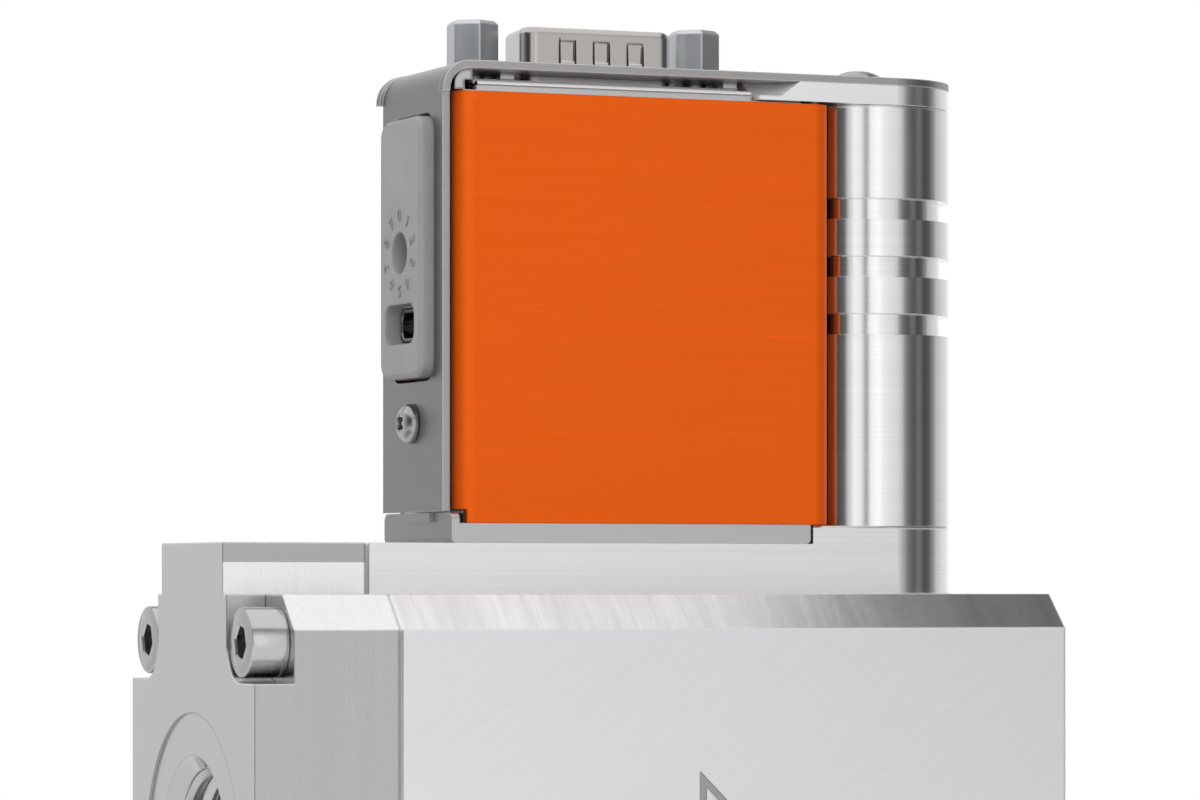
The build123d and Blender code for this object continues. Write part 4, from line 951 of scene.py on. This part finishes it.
@dataclass(frozen=True)
class TurnedScrew:
    """A screw turned in one piece with its shank along its own +Z, domed or with a flat face."""

    shank_radius: float
    shank_length: float
    head_radius: float
    head_height: float
    recess: Recess
    recess_radius: float
    recess_depth: float
    rim: Optional[float] = None
    face_break: float = 0.3
    recess_turn: float = 0.0
    steps: int = 72
    tip_share: float = 0.8
    tip_length: float = 0.2
    seat_break: float = 0.08
    lobe_swing: float = 0.16
    mouth_share: float = 1.1
    wall_drop: float = 0.15
    crease: float = 32.0
    crown_shares: tuple[float, ...] = (0.99, 0.965, 0.92, 0.85, 0.76, 0.65, 0.55)
    break_shares: tuple[tuple[float, float], ...] = ((0.0, 1.0), (0.25, 0.4), (1.0, 0.0))

    def crown(self, radius: float) -> float:
        """Gives the face's height above the head's seat, at a distance from the axis."""
        if self.rim is None:
            return self.head_height
        share = min(radius / self.head_radius, 1.0)
        return self.rim + (self.head_height - self.rim) * math.sqrt(1.0 - share * share)

    def recess_reach(self, angle: float) -> float:
        """Gives the distance from the axis to the recess's wall, at an angle round the axis."""
        turned = angle - math.radians(self.recess_turn)
        if self.recess is Recess.SIX_LOBES:
            return self.recess_radius * (1.0 + self.lobe_swing * math.cos(6.0 * turned))
        flat = math.pi / 3.0
        return self.recess_radius * math.cos(flat / 2.0) / math.cos(turned % flat - flat / 2.0)

    def outline(self) -> list[tuple[float, float]]:
        """Gives the turned profile as radii and heights, from the shank's tip to the face."""
        turned = [
            (self.shank_radius * self.tip_share, -self.shank_length),
            (self.shank_radius, self.tip_length - self.shank_length),
            (self.shank_radius, 0.0),
            (self.head_radius - self.seat_break, 0.0),
            (self.head_radius, self.seat_break),
        ]
        if self.rim is None:
            for inward, down in self.break_shares:
                out = self.head_radius - inward * self.face_break
                turned.append((out, self.head_height - down * self.face_break))
            return turned
        turned.append((self.head_radius, self.rim))
        for share in self.crown_shares:
            turned.append((self.head_radius * share, self.crown(self.head_radius * share)))
        return turned

    def make(self, name: str, places: Sequence[Matrix]) -> Piece:
        """Models one screw at each place, as one piece.

        Args:
            name: the piece's name.
            places: each carries the screw's own frame, in millimetres, to the object's.

        Returns:
            The piece.
        """
        build = bmesh.new()
        angles = [2.0 * math.pi * step / self.steps for step in range(self.steps)]
        reach = [self.recess_reach(angle) for angle in angles]
        floor = self.head_height - self.recess_depth
        circles = [[(radius, height)] * self.steps for radius, height in self.outline()]
        circles.append([(self.mouth_share * out, self.crown(self.mouth_share * out)) for out in reach])
        circles.append([(out, self.crown(out) - self.wall_drop) for out in reach])
        circles.append([(out, floor) for out in reach])
        for place in places:
            rings = [
                ring(build, [self._point(place, *spot, angle) for spot, angle in zip(circle, angles)])
                for circle in circles
            ]
            bridge(build, rings)
            for end, height in ((rings[0], -self.shank_length), (rings[-1], floor - self.wall_drop)):
                middle = ring(build, [self._point(place, 0.0, height, 0.0)])[0]
                for step in range(self.steps):
                    build.faces.new((end[step], end[(step + 1) % self.steps], middle))
        return place_mesh(name, build, self.crease)

    @staticmethod
    def _point(place: Matrix, radius: float, height: float, angle: float) -> Vector:
        """Gives one point of the screw, turned round its axis and carried to its place."""
        return place @ Vector((radius * math.cos(angle), radius * math.sin(angle), height))


@dataclass
class SubAssembly:
    """What every sub-assembly shares: the frame it dresses."""

    frame: dict

    def dress(self, finish: Finish, *nodes: str) -> None:
        """Gives CAD nodes a finish.

        Args:
            finish: the finish they get.
            *nodes: the nodes' names.
        """
        for node in nodes:
            finish.dress(self.frame["nodes"][node])
            LOG.info("dressed %s in %s", node, finish.name)


# ------------------------------------------------------------------ sub-assemblies
@dataclass
class FluidBlock(SubAssembly):
    """The milled block with its inlet adapter, ports, screws and flow arrow."""

    half_length: float = 44.7
    axis_height: float = 27.0
    port_radius: float = 9.3
    thread_start: float = 1.5
    thread_end: float = 11.6
    thread_pitch: float = 1.814
    thread_depth: float = 0.75
    thread_flank: float = 0.49
    thread_crest: float = 0.22
    thread_sunk: float = 0.02
    thread_steps: int = 72
    thread_fade: int = 20
    core_share: float = 0.02
    arrow_back: float = 2.9
    arrow_half: float = 9.1
    arrow_line: float = 0.7
    arrow_shaft: tuple[float, float] = (12.0, 8.4)
    arrow_cut: float = 0.12
    arrow_sunk: float = 0.03
    arrow_gap: float = 0.02
    front_face: float = -19.5

    def build(self) -> None:
        """Builds the block's own pieces and dresses its solids."""
        self.port_thread("inlet_thread", -1)
        self.port_thread("outlet_thread", 1)
        self.flow_arrow()
        self.corner_screws()
        self.dress(Finishes.BLOCK, "main_body")
        self.dress(Finishes.ADAPTER, "inlet_adapter")
        self.dress(Finishes.SEAL, "adapter_seal")
        self.dress(Finishes.FILTER, "inlet_filter")
        self.dress(Finishes.ELEMENT, "flow_element")

    def corner_screws(self) -> None:
        """Turns the adapter's four socket screws, with broken rims."""
        low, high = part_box("adapter_screws")
        screw = TurnedScrew(
            shank_radius=2.0, shank_length=20.0, head_radius=3.5, head_height=4.0,
            recess=Recess.HEXAGON, recess_radius=1.732, recess_depth=2.2, recess_turn=18.0,
        )
        turn = Matrix.Rotation(-math.pi / 2.0, 4, "Y")
        reach = screw.head_radius
        places = [
            Matrix.Translation(Vector((low.x / MM + screw.head_height, y, z))) @ turn
            for y in (low.y / MM + reach, high.y / MM - reach)
            for z in (low.z / MM + reach, high.z / MM - reach)
        ]
        made = screw.make("corner_screws", places)
        piece = seat(made, "controller", Finishes.SCREW)
        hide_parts("adapter_screws")

    def port_thread(self, name: str, end: int) -> None:
        """Cuts the look of a port's pipe thread: one helical ridge that fades at both ends.

        Args:
            name: the piece's name.
            end: -1 at the inlet, 1 at the outlet.
        """
        build = bmesh.new()
        half = self.thread_pitch * self.thread_flank
        run = self.thread_end - self.thread_start - 2.0 * half
        count = int(run / self.thread_pitch * self.thread_steps)
        rows = []
        for step in range(count + 1):
            angle = 2.0 * math.pi * step / self.thread_steps
            along = self.thread_start + half + self.thread_pitch * step / self.thread_steps
            fade = min(1.0, step / self.thread_fade, (count - step) / self.thread_fade)
            crest = self.port_radius - self.thread_depth * max(fade, self.core_share)
            root = self.port_radius + self.thread_sunk
            flat = half * self.thread_crest
            points = []
            for shift, radius in ((-half, root), (-flat, crest), (flat, crest), (half, root)):
                x = end * (self.half_length - along - shift)
                points.append((x, radius * math.cos(angle), self.axis_height + radius * math.sin(angle)))
            rows.append(ring(build, points))
        bridge(build, rows, capped=True)
        seat(place_mesh(name, build), "controller", Finishes.PORT_THREAD)

    def flow_arrow(self) -> None:
        """Fills the engraved arrow with paint, just below the face."""
        insets = (self.arrow_gap, self.arrow_line - self.arrow_gap)
        outlines = [self._arrow_outline(inset) for inset in insets]
        build = bmesh.new()
        rings = []
        for depth in (self.front_face + self.arrow_cut, self.front_face + self.arrow_sunk):
            for outline in outlines:
                points = [(self.arrow_back + x, depth, self.axis_height + z) for x, z in outline]
                rings.append(ring(build, points))
        for first, second in ((0, 1), (3, 2), (2, 0), (1, 3)):
            bridge(build, (rings[first], rings[second]))
        seat(place_mesh("arrow_paint", build), "controller", Finishes.ARROW)

    def _arrow_outline(self, inset: float) -> list[tuple[float, float]]:
        """Gives the arrow's outline, pulled in by an inset.

        Args:
            inset: how far its sides are pulled in.

        Returns:
            The outline's points, as X and Z from the middle of the head's back edge.
        """
        shaft, width = self.arrow_shaft
        tip = self.arrow_half - inset * math.sqrt(2.0)
        back = tip - inset
        side = width / 2.0 - inset
        return [
            (inset, back),
            (inset, side),
            (inset - shaft, side),
            (inset - shaft, -side),
            (inset, -side),
            (inset, -back),
            (tip, 0.0),
        ]


@dataclass
class ElectronicsHead(SubAssembly):
    """The head: tray, chassis, covers, bent strip and the grey side panel."""

    panel_face: float = -22.27
    dial_height: float = 89.0
    digit_ring: float = 3.85
    digit_size: float = 1.75
    digit_proud: float = 0.09
    rim_left: float = -17.0
    rim_right: float = 13.6
    rim_face: float = 8.48
    rim_wide: float = 0.9
    rim_foot: float = 105.7
    rim_rise: float = 0.55
    rim_sunk: float = 0.1
    rim_steps: int = 10
    rim_crease: float = 40.0
    digit_rounding: float = 0.02
    contact_size: Triple = (2.4, 0.26, 0.04)
    contact_inset: float = 1.6
    contact_edge: float = 0.012
    contact_pitch: float = 0.5
    contact_count: int = 12

    def build(self) -> None:
        """Builds the head's own pieces and dresses its solids."""
        self.dial_digits()
        self.socket_contacts()
        self.side_dome()
        self.rolled_rims()
        self.dress(Finishes.TRAY, "base_tray")
        self.dress(Finishes.SCREW, "tray_screws")
        self.dress(Finishes.CHASSIS, "chassis")
        self.dress(Finishes.COVER, "front_cover", "back_cover")
        self.dress(Finishes.STRIP, "top_strip")
        self.dress(Finishes.PANEL, "side_panel")
        self.dress(Finishes.DIAL, "address_dial")
        self.dress(Finishes.BLACK_PLASTIC, "switch_body", "usb_tongue")
        self.dress(Finishes.NICKEL, "usb_shell")

    def side_dome(self) -> None:
        """Turns the domed screw under the side panel, with a six-lobed recess."""
        low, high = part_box("side_screw")
        screw = TurnedScrew(
            shank_radius=1.0, shank_length=4.0, head_radius=2.05, head_height=1.6,
            recess=Recess.SIX_LOBES, recess_radius=0.85, recess_depth=1.0, rim=0.3,
        )
        middle = Vector((low.x / MM + screw.head_height, 0.0, (low.z + high.z) / 2.0 / MM))
        out = Matrix.Translation(middle) @ Matrix.Rotation(-math.pi / 2.0, 4, "Y")
        piece = seat(screw.make("side_dome", [out]), "controller", Finishes.DOME)
        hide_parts("side_screw")

    def rolled_rims(self) -> None:
        """Rolls the top edge of the chassis's two long walls over into a rounded rim."""
        build = bmesh.new()
        arc = [math.pi * step / self.rim_steps for step in range(self.rim_steps + 1)]
        half = self.rim_wide / 2.0
        outline = [(half, -self.rim_sunk)]
        outline += [(half * math.cos(angle), self.rim_rise * math.sin(angle)) for angle in arc]
        outline.append((-half, -self.rim_sunk))
        for side in (-1, 1):
            middle = side * (self.rim_face - half)
            ends = [
                ring(build, [(x, middle + across, self.rim_foot + up) for across, up in outline])
                for x in (self.rim_left, self.rim_right)
            ]
            bridge(build, ends, capped=True)
        piece = place_mesh("rolled_rims", build, self.rim_crease)
        # The rim's finish paints its front in shade and its rounded top with a highlight.
        seat(piece, "controller", Finishes.ROLLED)

    def dial_digits(self) -> None:
        """Raises the digits 0 to 9 round the dial, turned to face outwards."""
        upright = Matrix(((0, 0, -1, 0), (-1, 0, 0, 0), (0, 1, 0, 0), (0, 0, 0, 1)))
        out = Matrix.Translation(Vector((0.0, 0.0, self.digit_ring * MM)))
        place = Matrix.Translation(Vector((self.panel_face, 0.0, self.dial_height)) * MM)
        for digit in range(10):
            name = f"dial_digit_{digit}"
            curve = bpy.data.curves.new(name, "FONT")
            curve.body = str(digit)
            curve.size = self.digit_size * MM
            curve.align_x = "CENTER"
            curve.align_y = "CENTER"
            curve.extrude = self.digit_proud * MM
            curve.bevel_depth = self.digit_rounding * MM
            holder = hang(name, curve)
            bpy.context.view_layer.update()
            mesh = bpy.data.meshes.new_from_object(holder)
            bpy.data.objects.remove(holder)
            spin = Matrix.Rotation(math.radians(36.0 * digit), 4, "X")
            mesh.transform(place @ spin @ out @ upright)
            seat(hang(name, mesh), "controller", Finishes.PANEL)

    def socket_contacts(self) -> None:
        """Lays the row of contacts on the socket's tongue."""
        build = bmesh.new()
        low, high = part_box("usb_tongue")
        middle = (self.contact_count - 1) / 2.0
        for face in (low.z, high.z):
            for place in range(self.contact_count):
                centre = (low.x / MM + self.contact_inset, (place - middle) * self.contact_pitch, face / MM)
                broken_box(build, self.contact_size, centre, self.contact_edge)
        piece = place_mesh("socket_contacts", build)
        seat(piece, "controller", Finishes.GOLD)


@dataclass
class ValveTower(SubAssembly):
    """The solenoid valve with its grooved housing and cap."""

    def build(self) -> None:
        """Builds the cap's screw and dresses the valve's solids."""
        self.cap_dome()
        self.dress(
            Finishes.VALVE_STEEL,
            "valve_orifice", "valve_plunger", "plunger_spring", "valve_sleeve", "pole_piece", "flux_plate",
        )
        self.dress(Finishes.SEAL, "seat_disc", "sleeve_seal")
        self.dress(Finishes.RESIN, "valve_coil")
        self.dress(Finishes.BLACK_PLASTIC, "coil_plug")
        self.dress(Finishes.HOUSING, "coil_housing")
        self.dress(Finishes.CAP, "coil_cap")

    def cap_dome(self) -> None:
        """Turns the domed screw that holds the cap, with a hexagon recess."""
        low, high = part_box("cap_screw")
        screw = TurnedScrew(
            shank_radius=1.5, shank_length=12.0, head_radius=2.8, head_height=1.6,
            recess=Recess.HEXAGON, recess_radius=1.15, recess_depth=1.0, rim=0.25,
        )
        middle = Vector(((low.x + high.x) / 2.0 / MM, 0.0, high.z / MM - screw.head_height))
        made = screw.make("cap_dome", [Matrix.Translation(middle)])
        piece = seat(made, "controller", Finishes.DOME)
        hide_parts("cap_screw")


@dataclass
class Circuitry(SubAssembly):
    """The boards, the flow sensor and the nine-pin connector."""

    pin_row: float = 2.84
    pin_pitch: float = 2.77
    pin_radius: float = 0.5
    pin_steps: int = 20
    pin_tip: tuple[tuple[float, float], ...] = ((1.0, 0.45), (0.82, 0.16), (0.42, 0.0))
    shell_depth: float = 8.5
    tongue_shift: float = 0.2
    tongue_pitch: float = 3.8
    tongue_width: float = 1.75
    slit_width: float = 0.24
    slit_foot: float = 108.3
    slit_top: float = 111.4
    slit_fall: float = 0.13
    slit_depth: float = 0.06
    slit_edge: float = 0.01
    slit_top_share: float = 0.45

    def build(self) -> None:
        """Builds the connector's round pins and dresses the solids."""
        self.round_pins()
        self.tongue_slits()
        self.dress(Finishes.BOARD, "sensor_board", "interface_board", "main_board", "connector_board")
        self.dress(Finishes.CERAMIC, "sensor_chip")
        self.dress(Finishes.GOLD, "sensor_header", "dsub_pins")
        self.dress(Finishes.SEAL, "sensor_seal")
        self.dress(Finishes.BLACK_PLASTIC, "board_chips", "dsub_insulator")
        self.dress(Finishes.NICKEL, "dsub_shell", "dsub_spacers")
        self.dress(Finishes.JACKSCREW, "jackscrews", "jackscrew_nuts")

    def tongue_slits(self) -> None:
        """Lays thin black strips as painted shade in the slits beside the three spring tongues on each long
        side.
        """
        low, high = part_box("dsub_shell")
        middle = (low.x + high.x) / 2.0 / MM + self.tongue_shift
        build = bmesh.new()
        for side in (-1, 1):
            for index in range(6):
                tongue = (index // 2 - 1) * self.tongue_pitch
                edge = (index % 2 - 0.5) * self.tongue_width
                top = self.slit_top - self.slit_fall * index
                size = (self.slit_width, self.slit_depth, top - self.slit_foot)
                centre = (middle + tongue + edge, side * self.shell_depth / 2.0, (top + self.slit_foot) / 2.0)
                broken_box(build, size, centre, self.slit_edge, self.slit_top_share)
        piece = place_mesh("tongue_slits", build)
        # Black plastic stands in for the shade in the slits.
        seat(piece, "controller", Finishes.BLACK_PLASTIC)

    def round_pins(self) -> None:
        """Turns nine round pins with domed tips, in place of the square solids."""
        low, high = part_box("dsub_pins")
        middle = (low.x + high.x) / 2.0 / MM
        profile = [(self.pin_radius, low.z / MM)]
        profile += [(self.pin_radius * share, high.z / MM - down) for share, down in self.pin_tip]
        angles = [2.0 * math.pi * step / self.pin_steps for step in range(self.pin_steps)]
        spots = [(index - 2.0, -0.5) for index in range(5)] + [(index - 1.5, 0.5) for index in range(4)]
        build = bmesh.new()
        for along, row in spots:
            x, y = middle + along * self.pin_pitch, row * self.pin_row
            rings = [
                ring(build, [(x + out * math.cos(angle), y + out * math.sin(angle), up) for angle in angles])
                for out, up in profile
            ]
            bridge(build, rings, capped=True)
        piece = place_mesh("round_pins", build, ALL_SMOOTH)
        seat(piece, "controller", Finishes.GOLD)
        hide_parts("dsub_pins")


# ------------------------------------------------------------------------- studio
@dataclass(frozen=True)
class SoftBox:
    """One large soft lamp, placed and sized in metres."""

    name: str
    place: Triple
    aim: Triple
    width: float
    height: float
    watts: float
    mirrored: bool = True

    def hang(self) -> None:
        """Hangs the lamp and turns it to its aim."""
        data = bpy.data.lights.new(self.name, "AREA")
        data.shape = "RECTANGLE"
        data.size = self.width
        data.size_y = self.height
        data.energy = self.watts
        lamp = hang(self.name, data)
        lamp.visible_glossy = self.mirrored
        lamp.location = self.place
        way = Vector(self.aim) - Vector(self.place)
        lamp.rotation_euler = way.to_track_quat("-Z", "Y").to_euler()


@dataclass
class Studio:
    """The camera, the lamps, the white surround and the pale floor."""

    camera_place: Triple = (-207.733, -492.525, 54.807)
    camera_turn: float = 22.877
    lens: float = 153.56
    sensor_width: float = 36.0
    clip: tuple[float, float] = (0.01, 50.0)
    shift_y: float = 0.15511
    floor_radius: float = 0.55
    fill: float = 0.55
    overhead: float = 0.12
    overhead_rise: tuple[float, float] = (0.35, 0.75)
    floor_tones: tuple[float, float] = (0.86, 0.9)
    floor_fade: tuple[float, float] = (0.3, 0.98)
    floor_grain: float = 18.0
    floor_roughness: float = 0.9
    boxes: tuple[SoftBox, ...] = (
        SoftBox("top_box", (-0.115, 0.0, 0.34), (-0.115, 0.0, 0.0), 0.53, 0.6, 0.86),
        SoftBox("front_box", (-0.35, -0.75, 0.35), (0.0, 0.0, 0.06), 0.6, 0.5, 2.4, mirrored=False),
    )
    horizon: tuple[tuple[float, float], ...] = (
        (-180.0, 0.86), (-112.0, 0.86), (-92.0, 0.3), (-84.0, 0.15), (-66.0, 0.07), (-52.0, 0.07),
        (-43.0, 0.12), (-36.0, 0.7), (-29.0, 1.05), (-22.0, 0.95), (-14.5, 0.4), (-8.0, 1.05), (1.0, 1.15),
        (9.0, 0.95), (16.0, 0.86), (24.0, 0.8), (31.0, 0.66), (37.0, 0.3), (42.0, 0.16), (50.0, 0.1),
        (59.0, 0.17), (68.0, 0.07), (76.0, 0.1), (84.0, 0.25), (95.0, 0.58), (113.0, 0.75), (140.0, 0.95),
        (180.0, 0.86),
    )

    def build(self) -> None:
        """Sets up the whole studio."""
        bpy.context.scene.view_settings.view_transform = "Standard"
        self.camera()
        for box in self.boxes:
            box.hang()
        self.world()
        self.floor()
        LOG.info("studio is up")

    def camera(self) -> None:
        """Sets the camera on its stand."""
        data = bpy.data.cameras.new("camera")
        data.lens = self.lens
        data.sensor_width = self.sensor_width
        data.shift_y = self.shift_y
        data.clip_start, data.clip_end = self.clip
        camera = hang("camera", data)
        camera.location = Vector(self.camera_place) * MM
        camera.rotation_euler = (math.pi / 2.0, 0.0, -math.radians(self.camera_turn))
        bpy.context.scene.camera = camera

    def world(self) -> None:
        """Builds the surround: white to the eye, a studio of light and dark in the metal."""
        world = bpy.data.worlds.new("surround")
        bpy.context.scene.world = world
        world.use_nodes = True
        world.node_tree.nodes.clear()
        bench = ShaderBench(world.node_tree)
        x, y, z = bench.split(bench.node("ShaderNodeTexCoord").outputs["Generated"])
        angle = bench.maths("ARCTAN2", x, bench.times(y, -1.0))
        turn = bench.maths("ADD", bench.maths("DIVIDE", angle, 2.0 * math.pi), 0.5)
        ramp = bench.node("ShaderNodeValToRGB")
        ramp.color_ramp.interpolation = "EASE"
        stops = ramp.color_ramp.elements
        while len(stops) > 1:
            stops.remove(stops[0])
        for index, (degrees, value) in enumerate(self.horizon):
            place = degrees / 360.0 + 0.5
            stop = stops[0] if index == 0 else stops.new(place)
            stop.position = place
            stop.color = grey(value)
        bench.feed(ramp.inputs[0], turn)
        sky = bench.mix(bench.remap(z, *self.overhead_rise), ramp.outputs[0], grey(self.overhead))
        path = bench.node("ShaderNodeLightPath").outputs
        seen = bench.maths("MAXIMUM", path["Is Camera Ray"], path["Is Transmission Ray"])
        lit = bench.mix(path["Is Glossy Ray"], grey(self.fill), sky)
        feeds = {"Color": bench.mix(seen, lit, grey(1.0)), "Strength": 1.0}
        backdrop = bench.node("ShaderNodeBackground", feeds).outputs[0]
        bench.node("ShaderNodeOutputWorld", {"Surface": backdrop})

    def floor(self) -> None:
        """Lays the pale floor, which fades into the white round it and keeps the shadow."""
        build = bmesh.new()
        bmesh.ops.create_circle(build, cap_ends=True, segments=96, radius=self.floor_radius)
        floor = place_mesh("floor", build)
        material = bpy.data.materials.new("pale_floor")
        material.use_nodes = True
        bench = ShaderBench(material.node_tree)
        pale, paler = (grey(tone) for tone in self.floor_tones)
        reach = bench.vector_maths("LENGTH", bench.spot())
        start, end = (share * self.floor_radius for share in self.floor_fade)
        bench.fill(
            material.node_tree.nodes["Principled BSDF"],
            Base_Color=bench.mix(bench.noise(bench.spot(), self.floor_grain), pale, paler),
            Roughness=self.floor_roughness,
            Alpha=bench.remap(reach, start, end, 1.0, 0.0),
        )
        floor.data.materials.append(material)


def main() -> None:
    """Builds the controller's looks and the studio in order."""
    logging.basicConfig(level=logging.INFO, format="%(name)s: %(message)s")
    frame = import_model()
    for assembly in (FluidBlock, ElectronicsHead, ValveTower, Circuitry):
        assembly(frame).build()
        LOG.info("%s is built", assembly.__name__)
    Studio().build()


if __name__ == "__main__":
    main()
